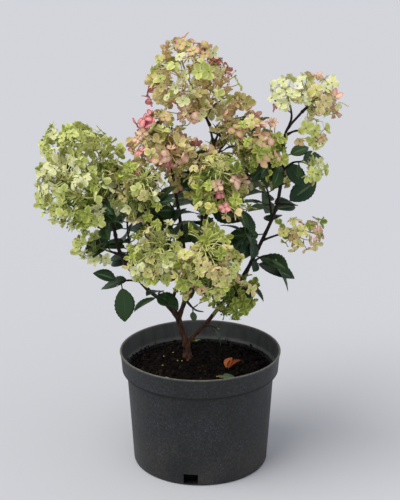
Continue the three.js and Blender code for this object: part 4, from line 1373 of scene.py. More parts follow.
for name, places in HANGING_SPRAYS.items():
    line = lines[name]
    root = line.at(line.length - HANGING_ROOT * SHOOTS[name]["bloom"][0])
    for place in np.array(places, float):
        grown[name][1].append((place, unit(place - root), root))
print(sum(len(places) for places in HANGING_SPRAYS.values()), "hanging sprays and",
      sum(len(patches) for patches in BARE_PATCHES.values()), "bare patches")

# %% [markdown]
# The places to try come in order: domes first, then the spiral, so that the domes win where they meet. The
# spiral's place at t from foot to tip lies on the cone's surface, and every third lies deeper, where the
# florets are shaded. In some domes the florets have drooped to the edge, and the places round their middle
# stay empty.

# %% Places to try
DOME_SHIFT, RING_SHIFT = 4.0, 2.2  # how far chance moves a dome, and a floret of its rings
# Florets in each ring, their distance from the dome's middle, and how much lower they are.
DOME_RINGS = [(5, 13.0, 3.0), (8, 21.0, 9.0)]
DOME_CURVE = 26  # the smaller, the more the rings' florets face sideways
BARE_DOMES = 0.3  # the share of domes whose florets have drooped
BARE_REACH = 17
SPIRAL_PER_FLOWER = 7
SPIRAL_INSET = 4
SPIRAL_REACHES, DEEP_REACH = (0.84, 1.0), 0.6  # as shares of the cone's radius


def floret_tries(spec, line, flowers, draw):
    """Middles and facings to try, and which lie deep: the solids' sprays, the rings of their domes, and a
    spiral of which every third place lies deep. The domes' middles follow, and which of them are bare."""
    places = np.array([place for place, _, _ in flowers])
    facings = np.array([facing for _, facing, _ in flowers])
    about = axes(facings, draw.normal(size=facings.shape))
    places = places + facings * draw.normal(0, DOME_SHIFT, (len(places), 1))
    bare = draw.random(len(places)) < BARE_DOMES
    middles, outs = [places], [facings]
    for florets_in_ring, reach, lower in DOME_RINGS:
        offset = ring(florets_in_ring, reach) - [0, 0, lower]
        offset = offset + draw.normal(0, RING_SHIFT, (len(places), florets_in_ring, 3))
        middles.append((places[:, None] + offset @ about).reshape(-1, 3))
        outs.append((facings[:, None] + (offset @ about) / DOME_CURVE).reshape(-1, 3))
    count = spec["flowers"] * SPIRAL_PER_FLOWER
    length, girth = spec["bloom"]
    t = cone_position(np.arange(count), count)
    at = line.length - length + t * length
    out = line.outward(at, draw.uniform(0, 6) + np.arange(count) * GOLDEN_TURN)
    along = line.direction(at)
    sunk = np.arange(count) % 3 == 2
    share = np.where(sunk, DEEP_REACH, draw.uniform(*SPIRAL_REACHES, count))
    reach = (girth - SPIRAL_INSET) * cone_share(t) * share
    middles.append(line.at(at) + out * reach[:, None])
    outs.append(cone_facing(out, along, t[:, None]))
    middles, outs = np.concatenate(middles), np.concatenate(outs)
    deep = np.concatenate([np.zeros(len(middles) - count, bool), sunk])
    from_bare = np.linalg.norm(middles[:, None] - places[bare], axis=2).min(1, initial=np.inf)
    clear = (from_bare > BARE_REACH) | deep
    return middles[clear], outs[clear], deep[clear], places, bare

# %% [markdown]
# A floret is kept where it fits in its shoot's own space, clear of the leaves and of the head's bare
# patches, and no nearer to another than the gap. Open heads, through which the sky shows, have a wider gap
# and few florets deep inside.

# %% Florets that fit
FLORET_RADIUS, FLORET_SIZES = 12.6, (0.72, 1.16)
FLORET_TILT, FLORET_LIFT = 0.72, 0.1  # how much chance tilts a floret, and how much it looks up
FLORET_GAP, OPEN_GAP = 12.4, 14.8  # the least distance between two, in a close head and an open one
DEEP_GONE = 0.65  # the share of the deep places that stay empty in an open head
TIP_ROOM = 0.6  # the part of a floret, from its middle, that has to lie in its own space
LEAF_ROOM = 9


def florets_of(mass, name):
    """A head's florets: middles, axes (z faces out), radii, the number of each one's spray, and which lie
    deep. Then the middles of its domes, and which are bare."""
    spec, flowers = SHOOTS[name], grown[name][1]
    draw = np.random.default_rng(FIRST_SEED + mass)
    middles, facings, deep, domes, bare = floret_tries(spec, lines[name], flowers, draw)
    facings = unit(unit(facings) + UP * FLORET_LIFT + draw.normal(0, FLORET_TILT, facings.shape))
    about = axes(facings, draw.normal(size=facings.shape))
    radii = FLORET_RADIUS * draw.uniform(*FLORET_SIZES, len(middles))
    tips = middles[:, None] + (ring(4, TIP_ROOM) @ about) * radii[:, None, None]
    fits = in_own_space(middles, mass) & in_own_space(tips.reshape(-1, 3), mass).reshape(-1, 4).all(1)
    fits &= np.linalg.norm(middles[:, None] - leaf_spots, axis=2).min(1) > LEAF_ROOM
    for x, z, reach in BARE_PATCHES.get(name, []):
        before = middles[:, 1] < lines[name].at(lines[name].length - spec["bloom"][0] / 2)[1]
        fits &= ~before | (np.hypot(middles[:, 0] - x, middles[:, 2] - z) > reach)
    if name in OPEN_HEADS:
        fits &= ~deep | (draw.random(len(deep)) > DEEP_GONE)
    gap = OPEN_GAP if name in OPEN_HEADS else FLORET_GAP
    kept = []
    for i in np.flatnonzero(fits):
        if not kept or np.linalg.norm(middles[kept] - middles[i], axis=1).min() > gap:
            kept.append(i)
    spray = np.linalg.norm(middles[kept][:, None] - domes, axis=2).argmin(1)
    return middles[kept], about[kept], radii[kept], spray, deep[kept], domes, bare


florets = {name: florets_of(i, name) for i, name in enumerate(FLOWER_SHOOTS)}
print(sum(len(middles) for middles, *_ in florets.values()), "florets in", len(florets), "heads")

# %% [markdown]
# ## Sepals
# A sepal is a broad oval, narrow where it joins, widest past its middle, and cupped and waved like thin
# card. An image of a petal on a card would be cheap but flat, so each is a small sheet of its own outline,
# bent by four numbers that differ from sepal to sepal: a cup along it, a fold along its midrib, a wave
# along its edge and a twist. Its middle and edge have their own tints, for the colour of a ripening floret
# creeps in from its edges.

# %% Sepal sheets
SEPAL_ROWS = np.array([0.04, 0.3, 0.62, 0.88, 1.0])
SEPAL_COLUMNS = np.array([-1.0, -0.5, 0.5, 1.0])
SEPAL_HALF_WIDTH = 0.47
OPENNESS = [-0.3, 0.05, 0.2, 0.6]  # bent back, flat, cupped, half shut
OPEN_SHARES = [0.2, 0.35, 0.3, 0.15]
# What chance does to each sepal: the middle and spread of some values, the least and most of others.
CUP_SPREAD, TURN_SPREAD = 0.14, 0.12
SEPAL_FOLDS, SEPAL_WAVES, SEPAL_TWISTS = (0.2, 0.16), (0, 0.08), (0, 0.25)
SEPAL_WIDTHS, SEPAL_SIZES = (0.76, 1.1), (0.74, 1.12)
TIP_SQUARE, WAVES_ALONG = 0.10, 5


def sepal_outline(t):
    """Half of a sepal's width along it, 0 to 1: an ellipse whose widest place is drawn outward by t^1.3."""
    return SEPAL_HALF_WIDTH * np.sqrt(np.maximum(0.03, 1 - (2 * t**1.3 - 1) ** 2))


def sepal_sheets(about, middles, radii, draw):
    """Points of four sepals for each floret, as (florets, 4, rows, columns, 3). Over t along a sepal and c
    across it, its height is cup t^2 + fold |y| + twist y t + wave sin(5 t + phase) |c|."""
    shape = (len(middles), 4, 1, 1)
    t, c = SEPAL_ROWS[:, None], SEPAL_COLUMNS
    openness = draw.choice(OPENNESS, (len(middles), 1, 1, 1), p=OPEN_SHARES)
    cup = openness + draw.normal(0, CUP_SPREAD, shape)
    fold, wave = draw.normal(*SEPAL_FOLDS, shape), draw.normal(*SEPAL_WAVES, shape)
    width, size = draw.uniform(*SEPAL_WIDTHS, shape), draw.uniform(*SEPAL_SIZES, shape)
    twist, phase = draw.normal(*SEPAL_TWISTS, shape), draw.uniform(0, 6, shape)
    y = sepal_outline(t) * c * width
    x = t * (1 - TIP_SQUARE * c**2 * t) + 0 * y
    edge_wave = wave * np.sin(WAVES_ALONG * t + phase) * np.abs(c)
    z = cup * t**2 + fold * np.abs(y) + twist * y * t + edge_wave
    turn = np.arange(4)[:, None, None] * np.pi / 2 + draw.normal(0, TURN_SPREAD, shape)
    flat = np.stack([x * np.cos(turn) - y * np.sin(turn), x * np.sin(turn) + y * np.cos(turn), z], axis=-1)
    flat = flat * (size * radii[:, None, None, None])[..., None]
    return middles[:, None, None, None] + flat @ about[:, None, None]

# %% [markdown]
# Every head has its own mixture of tints, told in words: how many parts of which pair. Most florets take
# the pair of their spray, the rest draw their own. On top of that come the places where the sepals have
# flushed pink in the cold nights, and deep florets are darkened as painted shade. A pattern in the material
# would be less to write, but then one sepal could turn from green to pink halfway.

# %% Tints of the heads
# Parts of the pair shaded are painted shade, given most to the heads in the middle and low down.
HEAD_TINTS = {
    "left_upper_bloom": "fresh 2 lime 6 pale 5 edged 1",
    "left_lower_bloom": "fresh 2 lime 6 pale 4",
    "left_drop_bloom": "lime 4 fresh 3 pale 3",
    "middle_left_bloom": "fresh 2 lime 4 pale 2 edged 3 blush 2",
    "pink_bloom": "blush 5 edged 4 lime 2 pink 4 rose 1 tipped 3",
    "top_bloom": "lime 5 edged 4 blush 3 pale 5 tipped 2",
    "top_right_bloom": "edged 4 lime 5 tipped 3 blush 1 pale 3",
    "centre_bloom": "fresh 4 olive 2 edged 2 tipped 2 blush 1 pink 1 shaded 9",
    "right_centre_bloom": "fresh 5 lime 1 edged 3 tipped 2 shaded 6",
    "right_top_bloom": "pale 4 ivory 3 blush 3 edged 2",
    "right_top_left_bloom": "pale 4 ivory 2 edged 1 lime 1",
    "right_middle_bloom": "pale 2 edged 2 tipped 3 lime 2",
    "right_side_bloom": "lime 2 pale 2 edged 1",
    "right_low_bloom": "edged 2 fresh 3 tipped 2 shaded 8",
    "front_left_bloom": "pale 4 lime 3 fresh 3 edged 2 blush 1",
    "front_right_bloom": "pale 2 lime 4 fresh 4 edged 3 tipped 2 shaded 4",
    "low_right_bloom": "fresh 2 shaded 8 edged 1 faded 1",
    "back_left_bloom": "fresh 2 lime 4 pale 3 edged 2",
    "back_middle_bloom": "lime 3 pale 2 edged 3 blush 2 pink 1",
    "back_right_bloom": "pale 3 lime 2 edged 3 blush 2",
    "back_top_bloom": "olive 2 edged 3 blush 3 pink 1",
}
# Where the blossom has flushed, seen from the front: X and Z, how far it spreads, and its pair.
FLUSHED_PLACES = [
    (32, 652, 12, "deep"), (48, 636, 18, "rose"), (41, 606, 20, "tipped"), (-7, 682, 21, "tipped"),
    (-73, 603, 15, "rose"), (-91, 573, 22, "rose"), (-96, 547, 21, "pink"), (-7, 557, 19, "rose"),
    (-30, 579, 19, "pink"), (5, 540, 18, "rose"), (-39, 526, 18, "pink"), (106, 584, 19, "rose"),
    (94, 565, 18, "pink"), (47, 577, 15, "tipped"), (42, 479, 19, "pink"), (32, 461, 13, "rose"),
    (7, 497, 13, "pink"), (-6, 380, 19, "edged"), (26, 377, 18, "blush"), (190, 396, 18, "pink"),
    (212, 592, 18, "pink"), (175, 636, 13, "pink"),
]
OWN_PAIR, FLUSHED_SHARE, SHADE_DARKENED_SHARE = 0.45, 0.72, 0.85
TINT_SEED = 900


def tints_of(pair):
    """The numbers of a pair's two tints."""
    return [tint_names.index(part) for part in PAIRS[pair]]


def head_pairs(name, draw):
    """The tints of each floret's sepals, as (florets, 2): in their middle and at their edge."""
    middles, _, _, spray, deep, *_ = florets[name]
    words = HEAD_TINTS[name].split()
    parts = np.array(words[1::2], float)
    chances = parts / parts.sum()
    of_spray = draw.choice(len(chances), len(grown[name][1]), p=chances)
    own = draw.choice(len(chances), len(middles), p=chances)
    picked = np.where(draw.random(len(middles)) < OWN_PAIR, own, of_spray[spray])
    pairs = np.array([tints_of(word) for word in words[::2]])[picked]
    for x, z, reach, word in FLUSHED_PLACES:
        flushed = np.hypot(middles[:, 0] - x, middles[:, 2] - z) < reach
        flushed &= draw.random(len(middles)) < FLUSHED_SHARE
        pairs[flushed] = tints_of(word)
    # Painted shade: most deep florets of a close head take the two darkest greens.
    shade_darkened = deep & (draw.random(len(deep)) < SHADE_DARKENED_SHARE) & (name not in OPEN_HEADS)
    pairs[shade_darkened] = [tint_names.index("dark_green"), tint_names.index("deep_green")]
    return pairs


print(len(FLUSHED_PLACES), "flushed places")

# %% [markdown]
# The sepals of green heads and of pink heads make two pieces. A sepal's faces are numbered as a grid, and
# those of its sides and tip take the tint of its edge.

# %% All sepals in two pieces
sepal_grid = grid_faces(len(SEPAL_ROWS), len(SEPAL_COLUMNS), closed=False)
edge_strip = np.zeros((len(SEPAL_ROWS) - 1, len(SEPAL_COLUMNS) - 1), bool)
edge_strip[:, [0, -1]] = edge_strip[-1] = True
green_pile, pink_pile = Pile(), Pile()
pink_heads = ["pink_bloom", "top_bloom", "top_right_bloom", "right_centre_bloom"]
green_heads = [name for name in FLOWER_SHOOTS if name not in pink_heads]
for mass, name in enumerate(FLOWER_SHOOTS):
    middles, about, radii, *_ = florets[name]
    draw = np.random.default_rng(TINT_SEED + mass)
    pairs = head_pairs(name, draw)
    sheets = sepal_sheets(about, middles, radii, draw)
    each = np.where(edge_strip.ravel(), pairs[:, 1:], pairs[:, :1])
    dealt = np.repeat(each[:, None], 4, axis=1).ravel()
    faces = copies(sepal_grid, len(middles) * 4, sheets[0, 0].size // 3)
    pile = pink_pile if name in pink_heads else green_pile
    pile.add(sheets, [faces], [dealt])
green_pile.piece("green_sepals", sepal_finishes, "green_blossom", green_heads)
pink_pile.piece("pink_sepals", sepal_finishes, "pink_blossom", pink_heads)

# %% [markdown]
# ## Stalks and buds
# What holds a head together shows between the sepals: pale stalks that leave the stem, fork, and end in
# florets, and clusters of tiny beads, the true flowers, which have no sepals at all. The stalks are thin
# tubes bent by their load. A bead is a lump of twenty faces, enough at a millimetre and a half: its twelve
# corners are those of three golden rectangles, and each three that lie near each other make a face.

# %% Beads and stalks
golden = (1 + 5**0.5) / 2
BEAD = unit(np.array([(s, t * golden, 0) for s in (-1, 1) for t in (-1, 1)]
                     + [(0, s, t * golden) for s in (-1, 1) for t in (-1, 1)]
                     + [(s * golden, 0, t) for t in (-1, 1) for s in (-1, 1)], float))
NEAR_CORNERS = 1.1  # two corners of one face are nearer than this, at a radius of 1
near = np.linalg.norm(BEAD[:, None] - BEAD, axis=2) < NEAR_CORNERS
triples = [(i, j, k) for i in range(len(BEAD)) for j in range(i) for k in range(j)
           if near[i, j] and near[j, k] and near[i, k]]
BEAD_FACES = np.array([(i, j, k) if np.linalg.det(BEAD[[i, j, k]]) > 0 else (i, k, j)
                       for i, j, k in triples])

stalk_pile, bead_pile = Pile(), Pile()


def add_beads(middles, radii, finish):
    """Beads of the given radii. finish is one number, or one for each bead."""
    dealt = np.repeat(np.broadcast_to(finish, len(middles)), len(BEAD_FACES))
    points = middles[:, None] + BEAD * radii[:, None, None]
    bead_pile.add(points, [copies(BEAD_FACES, len(middles), len(BEAD))], [dealt])


def add_stalks(starts, bends, ends, thick, rings, sides, tone):
    """Bent stalks whose radius goes from thick's first value to its second, in one of the stalk tints."""
    radii = np.linspace(*thick, rings)[None]
    surface = tubes(arcs(starts, bends, ends, rings), radii, sides)
    stalk_pile.add(surface, tube_faces(len(ends), rings, sides), tone)


print("A bead has", len(BEAD), "corners and", len(BEAD_FACES), "faces")

# %% [markdown]
# Where a head has opened, long stalks fan out from the stem behind: to each floret on the patch's rim, and
# as many more to beads within it. A stalk is bent so that it runs near the surface across the patch.

# %% Stalks across bare patches
# How far out of a patch its florets are sought, and how many of its stalks end in beads.
PATCH_RIM, PATCH_BEADS = 15, 14
PATCH_DEPTH = (4, 4)  # how far the beads lie behind the florets, and how much that varies
PATCH_ROOTS = 24  # places along the stem where the stalks may start


def patch_stalks(name, middles, draw):
    """Long stalks across a head's bare patches, as their feet, bends and ends: to the florets round each
    patch, and then to beads within it. The last value tells which end in beads."""
    line = lines[name]
    stem = line.at(np.linspace(cone_foot_of(name, SHOOTS[name]), line.length - STEM_SHORT, PATCH_ROOTS))
    made = []
    for x, z, reach in BARE_PATCHES.get(name, []):
        patch = np.array([x, 0, z])
        from_patch = (middles - patch) * [1, 0, 1]
        nearest = np.hypot(stem[:, 0] - x, stem[:, 2] - z + reach).argmin()
        rim = (np.linalg.norm(from_patch, axis=1) < reach + PATCH_RIM) & (middles[:, 1] < stem[nearest, 1])
        if not rim.any():
            continue
        front = np.median(middles[rim, 1])
        turn, out = draw.uniform(0, 2 * np.pi, PATCH_BEADS), reach * np.sqrt(draw.random(PATCH_BEADS))
        depth = front + draw.normal(*PATCH_DEPTH, PATCH_BEADS)
        within = patch + np.stack([out * np.cos(turn), depth, out * np.sin(turn)], axis=1)
        ends = np.concatenate([middles[rim], within])
        feet = stem[np.clip(nearest + draw.integers(-3, 4, len(ends)), 0, len(stem) - 1)]
        bends = patch + (ends - patch) * [0.25, 0, 0.25]
        bends[:, 1] = (0.7 * ends + 0.3 * feet)[:, 1]
        made.append((feet, bends, ends, np.arange(len(ends)) >= rim.sum()))
    return made

# %% [markdown]
# A spray's stalk leaves the stem and forks a little over halfway out. From the fork go the stalks of its
# florets, the threads of a bud cluster, and stalks whose florets have dropped, most of them in a bare dome.

# %% Bud clusters and stalks that have lost their floret
BUD_SHARE = 0.75
BEADS_IN_CLUSTER = 9
CLUSTER_SPREAD, CLUSTER_DEPTH = 5, 5
BARE_STALKS, OTHER_STALKS = 10, 4  # in a bare dome and in any other
BARE_SPREAD, BARE_DEPTH = [9, 9, 2], [0, 0, 3]


def bud_clusters(mass, places, facings, forks, airy, draw):
    """The threads of the bud clusters, as their starts and ends. airy is the share of a close head's."""
    open_forks = np.flatnonzero(draw.random(len(forks)) < BUD_SHARE * airy)
    shift = draw.normal(0, CLUSTER_SPREAD * airy, (len(open_forks), BEADS_IN_CLUSTER, 3))
    ends = (places[open_forks] - facings[open_forks] * CLUSTER_DEPTH)[:, None] + shift
    starts = np.broadcast_to(forks[open_forks][:, None], ends.shape)
    free = in_own_space(ends.reshape(-1, 3), mass)
    return starts.reshape(-1, 3)[free], ends.reshape(-1, 3)[free]


def bare_stalks(mass, places, facings, forks, bare_domes, airy, draw):
    """Stalks that end in a bead, as their starts and ends."""
    each = np.where(bare_domes, int(BARE_STALKS * airy), int(OTHER_STALKS * airy))
    dome = np.repeat(np.arange(len(forks)), each)
    sideways = axes(facings, draw.normal(size=facings.shape))[dome]
    offset = draw.normal(0, 1, (len(dome), 3)) * BARE_SPREAD - BARE_DEPTH
    ends = places[dome] + (offset[:, None] @ sideways)[:, 0]
    fits = in_own_space(ends, mass)
    return forks[dome][fits], ends[fits]

# %% [markdown]
# The last step puts them together, head by head. The thickest stalks have five sides, and the thousands of
# threads to the buds have three.

# %% Stalks and buds of each head
STALK_SEED = 1300
FORK_SHARE = 0.6  # how far out a spray's stalk forks
SPRAY_STALK, FLORET_STALK, PATCH_STALK, THREAD = (1.3, 1.0), (0.9, 0.7), (1.05, 0.75), (0.35, 0.35)
FLORET_BEND = 11  # a floret's stalk comes to it from this far behind it
EYE_RADIUS, EYE_LIFT = 1.3, 0.6  # the bead in the middle of a floret
BUD_RADII, BARE_RADII = (1.1, 1.7), (1.2, 1.9)
BROWN_BUDS, BROWN_BARE = 0.3, 0.25
GREEN_STALKED = ["low_right_bloom", "left_drop_bloom"]

for mass, name in enumerate(FLOWER_SHOOTS):
    draw = np.random.default_rng(STALK_SEED + mass)
    middles, about, radii, spray, _, places, bare_domes = florets[name]
    _, facings, roots = (np.array(part) for part in zip(*grown[name][1]))
    tone = GREEN_STALK if name in GREEN_STALKED else int(name in pink_heads)
    airy = 0.5 if name in OPEN_HEADS else 1

    forks = roots + (places - roots) * FORK_SHARE
    backs = middles - about[:, 2] * 0.5
    add_stalks(roots, (roots + forks) / 2 - facings * 3, forks, SPRAY_STALK, 6, 5, tone)
    add_stalks(forks[spray], backs - about[:, 2] * FLORET_BEND, backs, FLORET_STALK, 6, 4, tone)
    add_beads(middles + about[:, 2] * EYE_LIFT, np.full(len(middles), EYE_RADIUS), 0)

    starts, ends = bud_clusters(mass, places, facings, forks, airy, draw)
    add_beads(ends, draw.uniform(*BUD_RADII, len(ends)), draw.random(len(ends)) < BROWN_BUDS)

    bare_starts, bare_ends = bare_stalks(mass, places, facings, forks, bare_domes, airy, draw)
    add_stalks(bare_starts, (bare_starts + bare_ends) / 2 + UP * 2, bare_ends, FLORET_STALK, 5, 4, tone)
    bare_radii = draw.uniform(*BARE_RADII, len(bare_ends))
    add_beads(bare_ends, bare_radii, draw.random(len(bare_ends)) < BROWN_BARE)

    for feet, bends, far_ends, beaded in patch_stalks(name, middles, draw):
        add_stalks(feet, bends, far_ends, PATCH_STALK, 8, 5, tone)
        add_beads(far_ends[beaded], draw.uniform(*BARE_RADII, beaded.sum()), 0)
    add_stalks(starts, (starts + ends) / 2 + UP, ends, THREAD, 3, 3, tone)
stalk_pile.piece("stalks", stalk_finishes, "foliage", [])
bead_pile.piece("buds", bead_finishes, "foliage", [])

# %% [markdown]
# ## The pot
# A nursery pot is blown or moulded in one thin shell: a tapering wall, a crease under the collar, a ledge
# inside on which another pot would rest, and slots at the foot that let water out. It could be a turned
# profile with a thickness added, but the rolled lip is thicker than the wall. So the profile goes from the
# middle of the underside up the outside, over the lip and down the inside. Each point is a radius and a
# height. The pot and the compost are both turned surfaces, so the helpers come first.

# %% Turned surfaces
def resampled(profile, step):
    """A profile's points with more between them, so that no piece is longer than the step."""
    points = [profile[0]]
    for start, end in zip(profile[:-1], profile[1:]):
        parts = int(np.ceil(np.hypot(end[0] - start[0], end[1] - start[1]) / step))
        points += [tuple(np.array(start) + (np.array(end) - start) * k / parts) for k in range(1, parts + 1)]
    return np.array(points)


def turned_surface(profile, turns):
    """A profile turned about the Z axis, as (profile, turns, 3): (r cos, r sin, z)."""
    turn = 2 * np.pi * np.arange(turns) / turns
    radius, height = profile[:, :1], profile[:, 1:]
    return np.stack([radius * np.cos(turn), radius * np.sin(turn), height + 0 * turn], axis=-1)


def closed_at_axis(pile, surface, finish):
    """Adds a turned surface whose first and last rows are single points on the axis."""
    rows, turns = surface.shape[:2]
    first, last = surface[0, :1], surface[-1, :1]
    inner = surface[1:-1]
    points = np.concatenate([inner.reshape(-1, 3), first, last])
    j, end = np.arange(turns), (rows - 2) * turns
    fan = np.stack([(j + 1) % turns, j, 0 * j + end], axis=1)
    last_ring = (rows - 3) * turns
    other_fan = np.stack([j + last_ring, (j + 1) % turns + last_ring, 0 * j + end + 1], axis=1)
    pile.add(points, [grid_faces(rows - 2, turns), fan, other_fan], finish)

# %% [markdown]
# Thin plastic is never quite round, so the shell has a faint wobble: two waves round it and five, the second
# of which leans as it rises.

# %% Pot shell
POT_PROFILE = [
    (0, 0), (40, 0), (104, 0), (107, 0.3), (109.3, 1.2), (110, 2.5), (119, 155), (124.2, 155.2),
    (125.6, 155.9), (126.5, 157.4), (127, 164), (128, 176), (128.9, 184.6), (129.3, 186.2), (129.9, 187.0),
    (130.2, 188.4), (129.8, 189.6), (129, 190), (127.9, 189.9), (127.1, 189.2), (126.7, 187.5),
    (125.6, 176), (124.6, 164), (124.2, 162.2), (123, 160.6), (119.4, 157.4), (116.8, 156.4),
    (116.6, 155.4), (107.8, 6), (106.6, 3.6), (104, 3), (40, 3), (0, 3),
]
POT_TURNS = 144
POT_STEP = 5.0
WOBBLE = 0.35  # at the radius below
WOBBLE_RADIUS, WOBBLE_FROM, WOBBLE_LEAN = 125, 8, 40

shell = turned_surface(resampled(POT_PROFILE, POT_STEP), POT_TURNS)
turn, height = np.arctan2(shell[..., 1], shell[..., 0]), shell[..., 2]
waves = np.sin(2 * turn + 0.6) + 0.5 * np.sin(5 * turn + height / WOBBLE_LEAN)
wobble = WOBBLE * waves * (height > WOBBLE_FROM)
shell[..., :2] *= 1 + (wobble / WOBBLE_RADIUS)[..., None]
pot_pile = Pile()
closed_at_axis(pot_pile, shell, 0)
pot = pot_pile.piece("pot_shell", [pot_plastic], "pot_plastic", ["pot"])

# %% [markdown]
# The slots are cut by four boxes with Boolean modifiers. Leaving out faces of the grid would be quicker, but
# the slots' edges would then have no thickness. A Boolean leaves smooth shading round the sharp new edges,
# so every edge steeper than a limit is marked sharp afterwards.

# %% Slots at the pot's foot
SLOTS, SLOT_SIZE, SLOT_FOOT, FIRST_SLOT = 4, (16, 23, 17), 3, np.radians(-98)
FOOT_RADIUS = 110
SHARP_ANGLE = np.radians(40)

cutters = []
for k in range(SLOTS):
    angle = FIRST_SLOT + 2 * np.pi * k / SLOTS
    bpy.ops.mesh.primitive_cube_add(size=1)
    cutter = bpy.context.object
    cutter.dimensions = [side * MM for side in SLOT_SIZE]
    x, y = FOOT_RADIUS * np.cos(angle), FOOT_RADIUS * np.sin(angle)
    cutter.location = [value * MM for value in (x, y, SLOT_FOOT + SLOT_SIZE[2] / 2)]
    cutter.rotation_euler[2] = angle
    cut = pot.modifiers.new("slot", "BOOLEAN")
    cut.object, cut.solver = cutter, "EXACT"
    cutters.append(cutter)
bpy.context.view_layer.update()
cut_mesh = bpy.data.meshes.new_from_object(pot.evaluated_get(bpy.context.evaluated_depsgraph_get()))
pot.modifiers.clear()
pot.data = cut_mesh
cut_mesh.set_sharp_from_angle(angle=SHARP_ANGLE)
for cutter in cutters:
    bpy.data.objects.remove(cutter)
print("Pot with", SLOTS, "slots:", len(pot.data.polygons), "faces")

# %% [markdown]
# ## Compost
# The root ball stands a finger's width proud of the compost round it. A disc with bump shading looks
# painted on, and against a pot wall its edge gives it away. So it is a turned solid like the pot, and its
# surface has real hollows and lumps of a few millimetres.

# %% Compost in the pot
SOIL_PROFILE = [(0, 3.3), (96, 3.3), (98, 24), (107.8, 28), (116, 154), (110, 154.5), (100, 156), (87, 159.5),
                (74, 162.4), (62, 163.6), (30, 164), (0, 164)]
SOIL_STEP = 2.2
SOIL_RIM = 153.9  # the surface is what lies above this height
LUMP_HEIGHT, LUMP_SIZE, SMALL_LUMP_SIZE = 2.4, 26, 9
WALL_RADIUS, WALL_FADE = 115, 10  # the lumps fade out towards the wall
WAVES = 8


def lumps(x, y, size, seed):
    """A height from -1 to 1 or so: a third of the sum of eight waves in drawn directions, of about the
    given size."""
    draw = np.random.default_rng(seed)
    heights = 0
    turns, phases = draw.uniform(0, np.pi, WAVES), draw.uniform(0, 6, WAVES)
    for turn, phase, scale in zip(turns, phases, draw.uniform(0.7, 1.5, WAVES)):
        heights = heights + np.sin((x * np.cos(turn) + y * np.sin(turn)) * 2 * np.pi / (size * scale) + phase)
    return heights / 3


def soil_height(x, y):
    """The compost's surface: the profile, and lumps of two sizes that fade at the wall."""
    radius = np.hypot(x, y)
    radii, heights = zip(*SOIL_PROFILE[:3:-1])  # the upper side, from the axis out
    rough = LUMP_HEIGHT * lumps(x, y, LUMP_SIZE, 5) + 0.5 * LUMP_HEIGHT * lumps(x, y, SMALL_LUMP_SIZE, 6)
    return np.interp(radius, radii, heights) + rough * np.clip((WALL_RADIUS - radius) / WALL_FADE, 0, 1)


soil_surface = turned_surface(resampled(SOIL_PROFILE, SOIL_STEP), POT_TURNS)
on_top = soil_surface[..., 2] > SOIL_RIM
rough_top = soil_height(soil_surface[..., 0], soil_surface[..., 1])
soil_surface[..., 2] = np.where(on_top, rough_top, soil_surface[..., 2])
soil_surface[-1] = soil_surface[-1].mean(0)
soil_pile = Pile()
closed_at_axis(soil_pile, soil_surface, 0)
soil_pile.piece("compost", [compost[0]], "compost", ["soil"])

# %% [markdown]
# Loose crumbs of bark and peat lie on the compost, and a few on the pot's ledge. Each is a bead whose twelve
# corners are pushed in or out, with its own three radii. Most are small, because the drawn number is cubed.

# %% Crumbs
CRUMBS, LEDGE_CRUMBS, CRUMB_SEED = 1900, 160, 31
CRUMB_SIZES, CRUMB_STRETCH = (0.8, 4.6), (0.6, 1.3)
CORNER_STRETCH = (0.7, 1.25)
CRUMB_REACH = 114
LEDGE, LEDGE_HEIGHTS = (116.6, 122.0), (157.0, 160.6)
LEDGE_CRUMB_SIZE = 0.4
CRUMB_SHARES = [0.6, 0.28, 0.12]

draw = np.random.default_rng(CRUMB_SEED)
count = CRUMBS + LEDGE_CRUMBS
on_ledge = np.arange(count) >= CRUMBS
on_ledge_radius = LEDGE[0] + (LEDGE[1] - LEDGE[0]) * draw.random(count) ** 1.6
crumb_radius = np.where(on_ledge, on_ledge_radius, CRUMB_REACH * np.sqrt(draw.random(count)))
crumb_turn = draw.uniform(0, 2 * np.pi, count)
x, y = crumb_radius * np.cos(crumb_turn), crumb_radius * np.sin(crumb_turn)
spread = (CRUMB_SIZES[1] - CRUMB_SIZES[0]) * draw.random((count, 1)) ** 3
spread = spread * np.where(on_ledge, LEDGE_CRUMB_SIZE, 1)[:, None]
sizes = CRUMB_SIZES[0] + spread * draw.uniform(*CRUMB_STRETCH, (count, 3))
height = np.where(on_ledge, np.interp(crumb_radius, LEDGE, LEDGE_HEIGHTS), soil_height(x, y))
crumb_places = np.stack([x, y, height + sizes[:, 2] * 0.2], axis=1)
crumb_pile = Pile()
pushed = draw.uniform(*CORNER_STRETCH, (count, len(BEAD), 1))
crumb_finish = np.repeat(draw.choice(len(compost), count, p=CRUMB_SHARES), len(BEAD_FACES))
crumb_points = crumb_places[:, None] + BEAD * sizes[:, None] * pushed
crumb_pile.add(crumb_points, [copies(BEAD_FACES, count, len(BEAD))], [crumb_finish])
crumb_pile.piece("crumbs", compost, "compost", [])

# %% [markdown]
# ## What lies on the compost
# A curled dead leaf, a green one that has dropped, a seedling, a pale chip and a few shed buds: the small
# untidy things that make a pot look used. They are the plant's own shapes again, a leaf blade and a bead,
# bent further.

